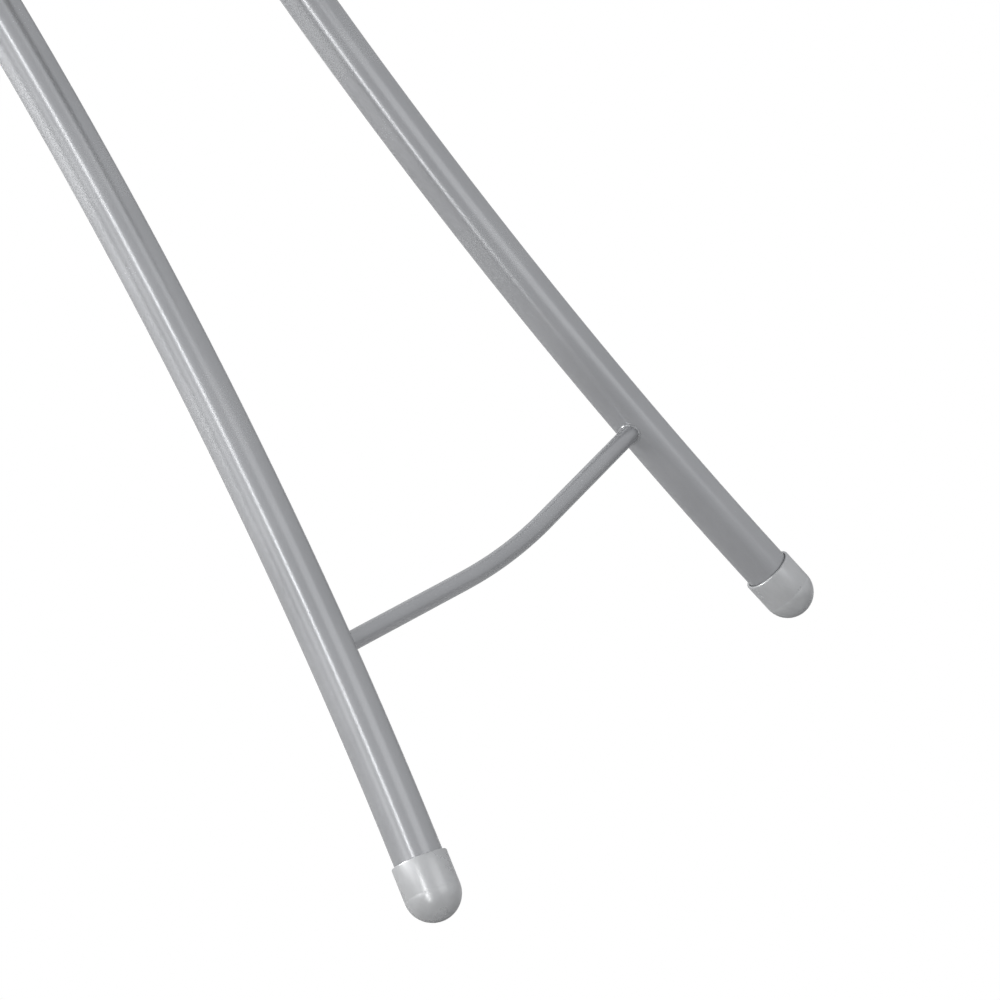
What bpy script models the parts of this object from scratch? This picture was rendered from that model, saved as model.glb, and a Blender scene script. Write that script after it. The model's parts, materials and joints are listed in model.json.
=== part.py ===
"""Folding ironing board: round-tube X-legs, mesh deck, pad, fitted cover, clamp lock and sliding iron rest.

Metres, +Z up. +X points to the rounded nose, +Y to the left as seen from the square tail.
The origin is on the floor, in the middle of the length and width that the whole object takes up.
Each moving group hangs from an empty that stands on its joint's axis.
"""

from math import atan, cos, pi, radians, sin, sqrt, tan

import bmesh
import bpy
from mathutils import Matrix, Vector

# Shared clearances and sheet sizes
GAP = 0.0003
RUN_GAP = 0.0003
STEEL_SHEET = 0.0015
BRACKET_SHEET = 0.003

# Legs
TUBE_R = 0.0125
TUBE_WALL = 0.0012
LEG_LENGTH = 1.16
LEG_LEAN = radians(38.0)
STEEPEST_LEAN = radians(34.5)
FOLDED_LEAN = radians(88.3)
OUTER_GAP = 0.108
OUTER_BOW_R = 1.95
OUTER_STRAIGHT_FROM = 0.14
INNER_BOW_R = 4.1
PIVOT_SPACER = 0.0034

# Feet caps
CAP_BORE_R = TUBE_R + GAP
CAP_WALL = 0.0015
CAP_R = CAP_BORE_R + CAP_WALL
CAP_SLEEVE = 0.0177
CAP_EDGE = 0.0008
DOME_STEPS = 6

# Braces between the feet
BRACE_R = 0.005
BRACE_UP = 0.123
BRACE_DROP = 0.015
BRACE_BEND_R = 0.47

# Top bars and the tail-end hinge
BAR_R = 0.010
BAR_WALL = 0.0012
BAR_OVERHANG = 0.020
PLUG_HEAD = 0.002
PLUG_STEM = 0.006
PLUG_PLAY = 0.0008
HINGE_FROM_TAIL = 0.100
HINGE_TO_LEG = 0.0107
HINGE_PLATE_HALF = 0.022
HINGE_PLATE_EDGE = 0.007
HINGE_FOOT = 0.009
BUSH_WALL = 0.0017
BUSH_FLANGE = 0.0015
BUSH_LENGTH = 0.009

# Pivot bolts
BOLT_R = 0.003
BOLT_HEAD_R = 0.0065
BOLT_CROWN_R = 0.0046
BOLT_HEAD = 0.0035
BOLT_END = 0.002
NUT_R = 0.0058
NUT_HEIGHT = 0.005
SPACER_R = 0.010

# Board
BOARD_LENGTH = 1.35
BOARD_WIDTH = 0.45
NOSE_TAPER = 0.55
TAIL_CORNER_R = 0.045
NOSE_STEPS = 12
NOSE_CROWDING = 1.2
CORNER_STEPS = 5
RIM_R = 0.009
RIM_WALL = 0.0012
RIM_JOINT = 0.0008
FOLD_ROOM = 0.003
DECK_SHEET = 0.0008
DECK_INSET = 0.006
PAD_THICK = 0.006
COVER_SHEET = 0.0008
HEM_WIDTH = 0.026

# Cross members under the deck
MEMBER_WIDTH = 0.025
MEMBER_TOP = 0.015
MEMBER_HEIGHT = 0.012
MEMBER_FROM_HINGE = 0.120
MEMBER_BEFORE_ROD = 0.127

# Slide rails and the sleeves that run in them
RAIL_TO_LEG = 0.009
RAIL_FLANGE = 0.014
RAIL_LIP = 0.010
RAIL_EDGE = 0.0022
RAIL_END = 0.020
SLEEVE_WALL = 0.0014
SLEEVE_LENGTH = 0.007
SLOT_PLAY = 0.0006
SLOT_END_PLAY = 0.0012
SLOT_STEPS = 6

# Clamp lock: rod, carriage, canting plate and release handle
ROD_R = 0.004
ROD_OVER_BAR = 0.0035
ROD_BEHIND = 0.050
ROD_AHEAD = 0.038
ROD_BRACKET_HALF = 0.018
ROD_BRACKET_FOOT = 0.015
ROD_BRACKET_EDGE = 0.0056
CARRIAGE_WALL = 0.0077
CARRIAGE_HALF_Y = 0.034
CARRIAGE_FLOOR = 0.0022
CARRIAGE_ROOF = 0.005
EAR_Y = 0.030
EAR_SHEET = 0.004
EAR_PAST_PIN = 0.008
EAR_RISE = 0.004
EAR_INSET = 0.001
PIN_R = 0.002
PIN_FROM_BLOCK = 0.014
PIN_DROP = 0.006
CANT = radians(6.0)
PLATE_HALF_Y = 0.023
PLATE_EDGE = 0.0055
PLATE_LUG_BACK = 0.012
LUG_INSET = 0.0008
PLATE_ROD_PLAY = 0.001
HANDLE_R = 0.0025
HANDLE_BEND_R = 0.006
HANDLE_RUN = ((0.0173, 0.0014), (0.0315, 0.0025), (0.070, 0.004))
HANDLE_HALF_Y = 0.036
GRIP_R = 0.007
GRIP_HALF = 0.028
SPRING_R = 0.0036
SPRING_WIRE = 0.0006
SPRING_TURNS = 4
SPRING_SIDES = 8
SPRING_PITCH = 0.0020

# Iron rest
REST_LENGTH = 0.25
REST_FROM_EDGE = 0.039
REST_R = 0.004
REST_ROOM = 0.0031
REST_CORNER_R = 0.030
REST_WIRE_R = 0.002
REST_WIRES = 5
REST_WIRE_STEP = 0.035
REST_FIRST_WIRE = 0.030
SLEEVED_WIRES = (2, 4)
HEAT_SLEEVE_WALL = 0.0012
HEAT_SLEEVE_HALF = 0.120
GUIDE_LENGTH = 0.060
GUIDE_FROM_TAIL = 0.036
GUIDE_WALL = 0.003
GUIDE_FLOOR = 0.0035
STOP_WALL = 0.0025
STOP_LENGTH = 0.009
ROD_TAIL = 0.008

# Places that follow from the sizes above
HINGE_Z = CAP_R + LEG_LENGTH * cos(LEG_LEAN)
TAIL_X = -(BOARD_LENGTH + REST_LENGTH) / 2 + REST_LENGTH
HINGE_X = TAIL_X + HINGE_FROM_TAIL
SLIDER_X = HINGE_X + LEG_LENGTH * sin(LEG_LEAN)
PIVOT_V = LEG_LENGTH / 2
PIVOT = Vector(((HINGE_X + SLIDER_X) / 2, 0.0, (HINGE_Z + CAP_R) / 2))
INNER_GAP = OUTER_GAP - 2 * TUBE_R - PIVOT_SPACER - 2 * GAP
RIM_Z = HINGE_Z + TUBE_R + FOLD_ROOM + RIM_R
DECK_Z = RIM_Z + RIM_R + GAP
UNDER_DECK = DECK_Z - GAP
PAD_Z = DECK_Z + DECK_SHEET + GAP
COVER_Z = PAD_Z + PAD_THICK + GAP
TOP_Z = COVER_Z + COVER_SHEET
RIM_INSET = COVER_SHEET + GAP + RIM_R
HEM_Z = RIM_Z - RIM_R - GAP - COVER_SHEET
SLIDE_MIN_X = HINGE_X + LEG_LENGTH * sin(STEEPEST_LEAN)
SLIDE_MAX_X = HINGE_X + LEG_LENGTH * sin(FOLDED_LEAN)
BAR_BORE_R = BAR_R + RUN_GAP
BUSH_R = BAR_BORE_R + BUSH_WALL
SLEEVE_R = BAR_BORE_R + SLEEVE_WALL
SLOT_R = SLEEVE_R + SLOT_PLAY
RAIL_Y = INNER_GAP - TUBE_R - RAIL_TO_LEG
ROD_Z = HINGE_Z + BAR_R + ROD_OVER_BAR + ROD_R
ROD_HOLE_R = ROD_R + RUN_GAP
ROD_START_X = SLIDE_MIN_X - ROD_BEHIND
ROD_END_X = SLIDE_MAX_X + ROD_AHEAD
REAR_MEMBER_X = HINGE_X + MEMBER_FROM_HINGE
MIDDLE_MEMBER_X = ROD_START_X - MEMBER_BEFORE_ROD
CARRIAGE_HALF_X = BAR_BORE_R + CARRIAGE_WALL
CARRIAGE_LOW = HINGE_Z - BAR_BORE_R - CARRIAGE_FLOOR
PIN_X = SLIDER_X - CARRIAGE_HALF_X - PIN_FROM_BLOCK
PIN_Z = HINGE_Z - PIN_DROP
REST_Y = BOARD_WIDTH / 2 - REST_FROM_EDGE
REST_Z = HEM_Z - REST_ROOM - 2 * REST_WIRE_R - GAP - REST_R
REST_END_X = TAIL_X - REST_LENGTH
GUIDE_X = TAIL_X + GUIDE_FROM_TAIL + GUIDE_LENGTH / 2

SIDES = (("left", 1), ("right", -1))
X_AXIS = Vector((1, 0, 0))
Y_AXIS = Vector((0, 1, 0))
Z_AXIS = Vector((0, 0, 1))


# ---------------------------------------------------------------- helpers


def clear_scene():
    for thing in list(bpy.data.objects):
        bpy.data.objects.remove(thing, do_unlink=True)


def finish(name, colour, roughness, metallic=0.0):
    """A plain material with the finish of one kind of piece."""
    material = bpy.data.materials.new(name)
    material.use_nodes = True
    shader = material.node_tree.nodes["Principled BSDF"]
    shader.inputs["Base Color"].default_value = (*colour, 1.0)
    shader.inputs["Roughness"].default_value = roughness
    shader.inputs["Metallic"].default_value = metallic
    material.diffuse_color = (*colour, 1.0)
    return material


def joint_axis(name, place):
    """An empty on a joint's axis, which carries the pieces that move about it."""
    axis = bpy.data.objects.new(name, None)
    axis.location = place
    axis.empty_display_size = 0.05
    bpy.context.collection.objects.link(axis)
    return axis


def add(name, mesh, material, axis=None, smooth=True):
    """One named piece made of a mesh in world coordinates, carried by the given joint axis."""
    piece = bpy.data.objects.new(name, mesh)
    bpy.context.collection.objects.link(piece)
    mesh.materials.clear()
    if material:
        mesh.materials.append(material)
    if smooth:
        mesh.shade_smooth()
        mesh.set_sharp_from_angle(angle=radians(40))
    if axis:
        piece.parent = axis
        piece.matrix_parent_inverse = Matrix.Translation(-axis.location)
    return piece


def mesh_from(bm, name):
    bmesh.ops.recalc_face_normals(bm, faces=bm.faces)
    mesh = bpy.data.meshes.new(name)
    bm.to_mesh(mesh)
    bm.free()
    return mesh


def combine(piece, other, operation):
    """Booleans another object into a piece, and keeps that object out of the picture."""
    modifier = piece.modifiers.new(operation.lower(), "BOOLEAN")
    modifier.operation = operation
    modifier.object = other
    other.hide_render = True
    other.display_type = "WIRE"


def cut(piece, *cutters):
    for cutter in cutters:
        combine(piece, cutter, "DIFFERENCE")


def turn_to(direction):
    """Rotation that takes +Z to a direction."""
    return Z_AXIS.rotation_difference(direction).to_matrix().to_4x4()


def rod_mesh(name, start, end, radius, segments=16):
    """A solid round rod between two points."""
    span = end - start
    bm = bmesh.new()
    bmesh.ops.create_cone(
        bm, cap_ends=True, segments=segments, radius1=radius, radius2=radius, depth=span.length
    )
    bmesh.ops.transform(bm, matrix=turn_to(span), verts=bm.verts)
    bmesh.ops.translate(bm, vec=(start + end) / 2, verts=bm.verts)
    return mesh_from(bm, name)


def cutter_rod(start, end, radius, segments=16):
    return add("cutter", rod_mesh("cutter", start, end, radius, segments), None, smooth=False)


def box_mesh(name, low, high):
    low, high = Vector(low), Vector(high)
    bm = bmesh.new()
    bmesh.ops.create_cube(bm, size=1.0)
    bmesh.ops.scale(bm, vec=high - low, verts=bm.verts)
    bmesh.ops.translate(bm, vec=(low + high) / 2, verts=bm.verts)
    return mesh_from(bm, name)


def helper_box(low, high):
    return add("helper", box_mesh("helper", low, high), None, smooth=False)


def prism_mesh(name, outline, along, start, end):
    """A flat outline of world points, pushed along a world direction from start to end."""
    bm = bmesh.new()
    face = bm.faces.new([bm.verts.new(Vector(p) + along * start) for p in outline])
    pushed = bmesh.ops.extrude_face_region(bm, geom=[face])["geom"]
    moved = [v for v in pushed if isinstance(v, bmesh.types.BMVert)]
    bmesh.ops.translate(bm, vec=along * (end - start), verts=moved)
    return mesh_from(bm, name)


def turned_mesh(name, profile, centre, axis, steps=20):
    """A closed profile of (radius, height) points, turned about an axis through the centre."""
    bm = bmesh.new()
    ring = [bm.verts.new((r, 0.0, z)) for r, z in profile]
    edges = [bm.edges.new((ring[i], ring[i + 1])) for i in range(len(ring) - 1)]
    if profile[0][0] > 0:
        edges.append(bm.edges.new((ring[-1], ring[0])))
    bmesh.ops.spin(
        bm, geom=ring + edges, axis=(0, 0, 1), cent=(0, 0, 0), angle=2 * pi, steps=steps, use_merge=True
    )
    bmesh.ops.remove_doubles(bm, verts=bm.verts, dist=1e-6)
    bmesh.ops.transform(bm, matrix=turn_to(axis), verts=bm.verts)
    bmesh.ops.translate(bm, vec=centre, verts=bm.verts)
    return mesh_from(bm, name)


def ring_profile(bore, radius, low, high):
    return [(bore, low), (radius, low), (radius, high), (bore, high)]


def swept_mesh(name, points, radius, roundness=3, capped=True):
    """Round stock bent along a path; capped ends make it solid."""
    curve = bpy.data.curves.new(name, "CURVE")
    curve.dimensions = "3D"
    curve.bevel_depth = radius
    curve.bevel_resolution = roundness
    curve.use_fill_caps = capped
    spline = curve.splines.new("POLY")
    spline.points.add(len(points) - 1)
    for place, point in zip(spline.points, points):
        place.co = (*point, 1.0)
    guide = bpy.data.objects.new(name, curve)
    bpy.context.collection.objects.link(guide)
    graph = bpy.context.evaluated_depsgraph_get()
    mesh = bpy.data.meshes.new_from_object(guide.evaluated_get(graph))
    bpy.data.objects.remove(guide, do_unlink=True)
    return mesh


def hollow(piece, wall):
    """Gives an open-ended tube skin its wall, on the inside."""
    modifier = piece.modifiers.new("wall", "SOLIDIFY")
    modifier.thickness = wall
    modifier.offset = -1.0
    modifier.use_even_offset = True


def corner_points(corner, before, after, radius, steps):
    """Points of the arc that rounds a corner between two straight runs."""
    back = (before - corner).normalized()
    on = (after - corner).normalized()
    half = back.angle(on) / 2
    centre = corner + (back + on).normalized() * (radius / sin(half))
    first = corner + back * (radius / tan(half)) - centre
    last = corner + on * (radius / tan(half)) - centre
    sweep = first.angle(last)
    axis = first.cross(last).normalized()
    return [centre + Matrix.Rotation(sweep * i / steps, 3, axis) @ first for i in range(steps + 1)]


def rounded_path(points, radius, steps=5):
    """A path of straight runs with each inner corner bent to a radius."""
    path = [points[0]]
    for before, corner, after in zip(points, points[1:], points[2:]):
        path += corner_points(corner, before, after, radius, steps)
    return path + [points[-1]]


# ---------------------------------------------------------------- legs


def half_gap(v, gap, bow_r, straight_from):
    """Half the space between a pair of leg tubes, at a height v up the leg from its foot."""
    t = v - PIVOT_V
    bent = min(t, straight_from)
    rise = sqrt(bow_r**2 - bent**2)
    return gap + bow_r - rise + (bent / rise) * (t - bent)


class LegPair:
    """Shape of one pair of legs: where the feet stand, which way they lean and how they bow."""

    def __init__(self, foot_x, lean, gap, bow_r, straight_from):
        self.foot = Vector((foot_x, 0.0, CAP_R))
        self.up = Vector((lean * sin(LEG_LEAN), 0.0, cos(LEG_LEAN)))
        self.gap = gap
        self.bow_r = bow_r
        self.straight_from = straight_from

    def half(self, v):
        return half_gap(v, self.gap, self.bow_r, self.straight_from)

    def point(self, v, side):
        return self.foot + self.up * v + Y_AXIS * (side * self.half(v))

    def direction(self, v, side):
        """Unit direction up the tube at a height up the leg."""
        step = 0.001
        return (self.point(v + step, side) - self.point(v - step, side)).normalized()

    def foot_direction(self, side):
        """Unit direction of the short straight end that goes into the foot's cap."""
        return (self.point(CAP_SLEEVE, side) - self.point(0.0, side)).normalized()

    def cope(self, v, side):
        """Cutter that copes a cross tube onto the leg tube at a height up the leg."""
        reach = self.direction(v, side) * (3 * TUBE_R)
        middle = self.point(v, side)
        return cutter_rod(middle - reach, middle + reach, TUBE_R + GAP, 24)

    def path(self, side, top, steps=11):
        bow_end = PIVOT_V + self.straight_from
        bow = [CAP_SLEEVE + (bow_end - CAP_SLEEVE) * i / steps for i in range(steps + 1)]
        return [self.point(v, side) for v in (GAP, *bow, top)]


def leg_pairs():
    outer = LegPair(SLIDER_X, -1, OUTER_GAP, OUTER_BOW_R, OUTER_STRAIGHT_FROM)
    inner = LegPair(HINGE_X, 1, INNER_GAP, INNER_BOW_R, 0.0)
    return outer, inner


def leg_tube(name, pair, side, top, axis, paint):
    """One bowed leg tube, open at both ends, with its pivot hole drilled across."""
    path = pair.path(side, top)
    tube = add(name, swept_mesh(name, path, TUBE_R, roundness=4, capped=False), paint, axis)
    hollow(tube, TUBE_WALL)
    middle = pair.point(PIVOT_V, side)
    reach = Y_AXIS * (2 * TUBE_R)
    cut(tube, cutter_rod(middle - reach, middle + reach, BOLT_R + RUN_GAP))
    return tube


def foot_cap(name, pair, side, axis, plastic):
    """Domed cap pushed over the foot of a leg tube."""
    turns = [pi / 2 * i / DOME_STEPS for i in range(DOME_STEPS + 1)]
    dome = [(CAP_R * sin(a), -CAP_R * cos(a)) for a in turns]
    edge = [(CAP_R, CAP_SLEEVE - CAP_EDGE), (CAP_R - CAP_EDGE, CAP_SLEEVE)]
    bore = [(CAP_BORE_R, CAP_SLEEVE), (CAP_BORE_R, 0.0), (0.0, 0.0)]
    profile = dome + edge + bore
    mesh = turned_mesh(name, profile, pair.point(0.0, side), pair.foot_direction(side), steps=20)
    return add(name, mesh, plastic, axis)


def brace(name, pair, axis, paint):
    """Thin cross tube between the feet, bent towards them in its middle, coped onto the leg tubes."""
    half = pair.half(BRACE_UP)
    slope = atan(BRACE_DROP / half)
    bend = BRACE_BEND_R * sin(slope)
    rise = BRACE_BEND_R * cos(slope)
    low = BRACE_UP - BRACE_DROP + bend * tan(slope)
    steps = 8
    arc = [bend * (2 * i / steps - 1) for i in range(steps + 1)]
    middle = [(y, low + rise - sqrt(BRACE_BEND_R**2 - y**2)) for y in arc]
    ends = [(-half, BRACE_UP), *middle, (half, BRACE_UP)]
    path = [pair.foot + pair.up * v + Y_AXIS * y for y, v in ends]
    tube = add(name, swept_mesh(name, path, BRACE_R, roundness=4), paint, axis)
    for _, side in SIDES:
        cut(tube, pair.cope(BRACE_UP, side))


def top_bar(name, start_y, end_y, x, axis, paint):
    """Round tube across the tops of a pair of legs, open at both ends."""
    ends = [Vector((x, start_y, HINGE_Z)), Vector((x, end_y, HINGE_Z))]
    bar = add(name, swept_mesh(name, ends, BAR_R, roundness=5, capped=False), paint, axis)
    hollow(bar, BAR_WALL)
    return bar


def tube_plug(name, mouth, outward, tube_r, wall, axis, plastic):
    """Plastic plug in the mouth of a tube, with a head that covers the tube's end."""
    stem = tube_r - wall - PLUG_PLAY
    profile = [
        (0.0, -PLUG_STEM),
        (stem, -PLUG_STEM),
        (stem, GAP),
        (tube_r, GAP),
        (tube_r, PLUG_HEAD / 2 + GAP),
        (tube_r - PLUG_HEAD / 2, PLUG_HEAD + GAP),
        (0.0, PLUG_HEAD + GAP),
    ]
    return add(name, turned_mesh(name, profile, mouth, outward, 16), plastic, axis)


def pivot_set(word, side, outer, inner, axis, steel, plastic):
    """Bolt, spacer and nut that hold an outer and an inner leg tube together at the crossing."""
    outside = outer.half(PIVOT_V) + TUBE_R + GAP
    between = outer.half(PIVOT_V) - TUBE_R - GAP
    inside = inner.half(PIVOT_V) - TUBE_R - GAP
    out = Y_AXIS * side
    shank_end = inside - NUT_HEIGHT - BOLT_END
    bolt = [
        (0.0, shank_end),
        (BOLT_R, shank_end),
        (BOLT_R, outside),
        (BOLT_HEAD_R, outside),
        (BOLT_HEAD_R, outside + BOLT_HEAD / 2),
        (BOLT_CROWN_R, outside + BOLT_HEAD),
        (0.0, outside + BOLT_HEAD),
    ]
    name = "pivot_bolt_" + word
    add(name, turned_mesh(name, bolt, PIVOT, out, 16), steel, axis)
    name = "pivot_spacer_" + word
    bore = BOLT_R + RUN_GAP
    ring = ring_profile(bore, SPACER_R, between - PIVOT_SPACER, between)
    add(name, turned_mesh(name, ring, PIVOT, out, 16), plastic, axis)
    name = "pivot_nut_" + word
    far, near = PIVOT + out * (inside - NUT_HEIGHT), PIVOT + out * inside
    nut = add(name, rod_mesh(name, far, near, NUT_R, 6), steel, axis, smooth=False)
    cut(nut, cutter_rod(far - out * NUT_HEIGHT, near + out * NUT_HEIGHT, bore))


def outer_legs(pair, other, axis, finishes):
    paint, cap_plastic, steel, plastic = (finishes[k] for k in ("leg_paint", "cap", "steel", "plastic"))
    bar_end = pair.half(LEG_LENGTH) + BAR_OVERHANG
    top_bar("outer_top_bar", -bar_end, bar_end, HINGE_X, axis, paint)
    for word, side in SIDES:
        tube = leg_tube("outer_leg_" + word, pair, side, LEG_LENGTH, axis, paint)
        through = Y_AXIS * (2 * TUBE_R)
        top = pair.point(LEG_LENGTH, side)
        cut(tube, cutter_rod(top - through, top + through, BAR_R + GAP, 24))
        foot_cap("outer_cap_" + word, pair, side, axis, cap_plastic)
        mouth = Vector((HINGE_X, side * bar_end, HINGE_Z))
        tube_plug("bar_plug_" + word, mouth, Y_AXIS * side, BAR_R, BAR_WALL, axis, plastic)
        pivot_set(word, side, pair, other, axis, steel, plastic)
    brace("outer_brace", pair, axis, paint)


def inner_legs(pair, axis, finishes):
    paint, cap_plastic, plastic = (finishes[k] for k in ("leg_paint", "cap", "plastic"))
    top = LEG_LENGTH + TUBE_R
    half = pair.half(LEG_LENGTH)
    bar = top_bar("inner_top_bar", -half, half, SLIDER_X, axis, paint)
    for word, side in SIDES:
        leg_tube("inner_leg_" + word, pair, side, top, axis, paint)
        foot_cap("inner_cap_" + word, pair, side, axis, cap_plastic)
        cut(bar, pair.cope(LEG_LENGTH, side))
        tube_plug("leg_plug_" + word, pair.point(top, side), pair.up, TUBE_R, TUBE_WALL, axis, plastic)
        name = "slide_sleeve_" + word
        middle = Vector((SLIDER_X, side * (RAIL_Y - STEEL_SHEET / 2), HINGE_Z))
        ring = ring_profile(BAR_BORE_R, SLEEVE_R, -SLEEVE_LENGTH / 2, SLEEVE_LENGTH / 2)
        add(name, turned_mesh(name, ring, middle, Y_AXIS, 20), plastic, axis)
    brace("inner_brace", pair, axis, paint)


# ---------------------------------------------------------------- board


def board_outline(inset, height):
    """Loop of points round the board, a given distance in from its outer edge.

    The nose is half of a long ellipse, the sides are straight and the tail has round corners.
    """
    nose_x = TAIL_X + BOARD_LENGTH - NOSE_TAPER
    wide = BOARD_WIDTH / 2
    side = []
    for i in range(NOSE_STEPS + 1):
        t = (pi / 2) * (i / NOSE_STEPS) ** NOSE_CROWDING
        normal = Vector((cos(t) / NOSE_TAPER, sin(t) / wide, 0.0)).normalized()
        side.append(Vector((nose_x + NOSE_TAPER * cos(t), wide * sin(t), 0.0)) - normal * inset)
    corner = Vector((TAIL_X + TAIL_CORNER_R, wide - TAIL_CORNER_R, 0.0))
    for i in range(CORNER_STEPS + 1):
        t = pi / 2 + (pi / 2) * i / CORNER_STEPS
        side.append(corner + Vector((cos(t), sin(t), 0.0)) * (TAIL_CORNER_R - inset))
    other = [Vector((p.x, -p.y, 0.0)) for p in reversed(side[1:])]
    return [p + Z_AXIS * height for p in side + other]


def sheet(name, inset, low, high, material):
    outline = [Vector((p.x, p.y, 0.0)) for p in board_outline(inset, 0.0)]
    return add(name, prism_mesh(name, outline, Z_AXIS, low, high), material, smooth=False)


def rim_tube(paint):
    """Edge tube bent to the board's outline, with its two ends butted at the middle of the tail."""
    loop = board_outline(RIM_INSET, RIM_Z)
    tail = next(i for i in range(len(loop)) if loop[i].y > 0 > loop[i + 1].y)
    around = loop[tail + 1 :] + loop[: tail + 1]
    tail_x = TAIL_X + RIM_INSET
    start = Vector((tail_x, -RIM_JOINT / 2, RIM_Z))
    end = Vector((tail_x, RIM_JOINT / 2, RIM_Z))
    path = [start, *around, end]
    rim = add("rim_tube", swept_mesh("rim_tube", path, RIM_R, roundness=3, capped=False), paint)
    hollow(rim, RIM_WALL)


def fitted_cover(cotton):
    """Cotton skin over the pad, down the sides and turned in under the rim tube."""
    skins = (
        (0.0, COVER_SHEET + HEM_WIDTH, TOP_Z, HEM_Z),
        (COVER_SHEET, COVER_SHEET + HEM_WIDTH, COVER_Z, HEM_Z + COVER_SHEET),
    )
    bm = bmesh.new()
    hems = []
    for inset, hem, top_z, bottom_z in skins:
        levels = [board_outline(inset, top_z), board_outline(inset, bottom_z), board_outline(hem, bottom_z)]
        rings = [[bm.verts.new(p) for p in level] for level in levels]
        bm.faces.new(rings[0])
        for upper, lower in zip(rings, rings[1:]):
            bridge(bm, upper, lower)
        hems.append(rings[-1])
    bridge(bm, hems[0], hems[1])
    add("fitted_cover", mesh_from(bm, "fitted_cover"), cotton, smooth=False)


def bridge(bm, upper, lower):
    count = len(upper)
    for i in range(count):
        bm.faces.new((upper[i], upper[(i + 1) % count], lower[(i + 1) % count], lower[i]))


def channel(name, profile, along, start, end, material):
    """A bent-sheet section given by its outline, pushed along a direction."""
    return add(name, prism_mesh(name, profile, along, start, end), material, smooth=False)


def cross_member(name, x, paint):
    """Shallow top-hat channel across the underside of the deck, from rim to rim."""
    half = MEMBER_WIDTH / 2
    low = UNDER_DECK - MEMBER_HEIGHT
    t = STEEL_SHEET
    lip = MEMBER_TOP / 2
    outline = [
        (-half, UNDER_DECK),
        (-half, UNDER_DECK - t),
        (-lip, UNDER_DECK - t),
        (-lip, low),
        (lip, low),
        (lip, UNDER_DECK - t),
        (half, UNDER_DECK - t),
        (half, UNDER_DECK),
        (lip - t, UNDER_DECK),
        (lip - t, low + t),
        (t - lip, low + t),
        (t - lip, UNDER_DECK),
    ]
    reach = BOARD_WIDTH / 2 - RIM_INSET - RIM_R - GAP
    points = [Vector((x + px, 0.0, pz)) for px, pz in outline]
    return channel(name, points, Y_AXIS, -reach, reach, paint)


def slide_rail(word, side, paint):
    """Lipped channel with a long slot in its web, in which a sleeve of the inner legs' bar runs."""
    low = HINGE_Z - SLOT_R - RAIL_EDGE
    web_in = RAIL_Y - STEEL_SHEET
    outline = [
        (RAIL_Y, low),
        (RAIL_Y, UNDER_DECK),
        (RAIL_Y - RAIL_FLANGE, UNDER_DECK),
        (RAIL_Y - RAIL_FLANGE, UNDER_DECK - STEEL_SHEET),
        (web_in, UNDER_DECK - STEEL_SHEET),
        (web_in, low + STEEL_SHEET),
        (RAIL_Y - RAIL_LIP, low + STEEL_SHEET),
        (RAIL_Y - RAIL_LIP, low),
    ]
    slot_start = SLIDE_MIN_X - SLOT_END_PLAY + SLOT_PLAY
    slot_end = SLIDE_MAX_X + SLOT_END_PLAY - SLOT_PLAY
    points = [Vector((0.0, side * y, z)) for y, z in outline]
    start = slot_start - SLOT_R - RAIL_END
    end = slot_end + SLOT_R + RAIL_END
    rail = channel("slide_rail_" + word, points, X_AXIS, start, end, paint)
    slot = []
    for centre_x, first in ((slot_end, -pi / 2), (slot_start, pi / 2)):
        for i in range(SLOT_STEPS + 1):
            t = first + pi * i / SLOT_STEPS
            slot.append(Vector((centre_x + SLOT_R * cos(t), 0.0, HINGE_Z + SLOT_R * sin(t))))
    reach = sorted((side * (RAIL_Y + 2 * STEEL_SHEET), side * (web_in - STEEL_SHEET)))
    cut(rail, add("slot", prism_mesh("slot", slot, Y_AXIS, *reach), None, smooth=False))


def hinge_support(word, side, leg_y, paint, plastic):
    """Bracket under the deck and the bush in it, in which the outer legs' bar turns."""
    plate_y = leg_y - TUBE_R - HINGE_TO_LEG
    inner = plate_y - BRACKET_SHEET
    low = HINGE_Z - BUSH_R - HINGE_PLATE_EDGE
    foot = inner - HINGE_FOOT
    outline = [
        (plate_y, low),
        (plate_y, UNDER_DECK),
        (foot, UNDER_DECK),
        (foot, UNDER_DECK - BRACKET_SHEET),
        (inner, UNDER_DECK - BRACKET_SHEET),
        (inner, low),
    ]
    points = [Vector((0.0, side * y, z)) for y, z in outline]
    ends = (HINGE_X - HINGE_PLATE_HALF, HINGE_X + HINGE_PLATE_HALF)
    bracket = channel("hinge_bracket_" + word, points, X_AXIS, *ends, paint)
    centre = Vector((HINGE_X, side * (plate_y - BRACKET_SHEET / 2), HINGE_Z))
    reach = Y_AXIS * (2 * BRACKET_SHEET)
    cut(bracket, cutter_rod(centre - reach, centre + reach, BUSH_R + GAP, 24))
    name = "hinge_bush_" + word
    face = BRACKET_SHEET / 2 + GAP
    profile = [
        (BAR_BORE_R, -BUSH_LENGTH / 2),
        (BUSH_R, -BUSH_LENGTH / 2),
        (BUSH_R, face),
        (BUSH_R + BUSH_WALL, face),
        (BUSH_R + BUSH_WALL, face + BUSH_FLANGE),
        (BAR_BORE_R, face + BUSH_FLANGE),
    ]
    add(name, turned_mesh(name, profile, centre, Y_AXIS * side, 20), plastic)


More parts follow.
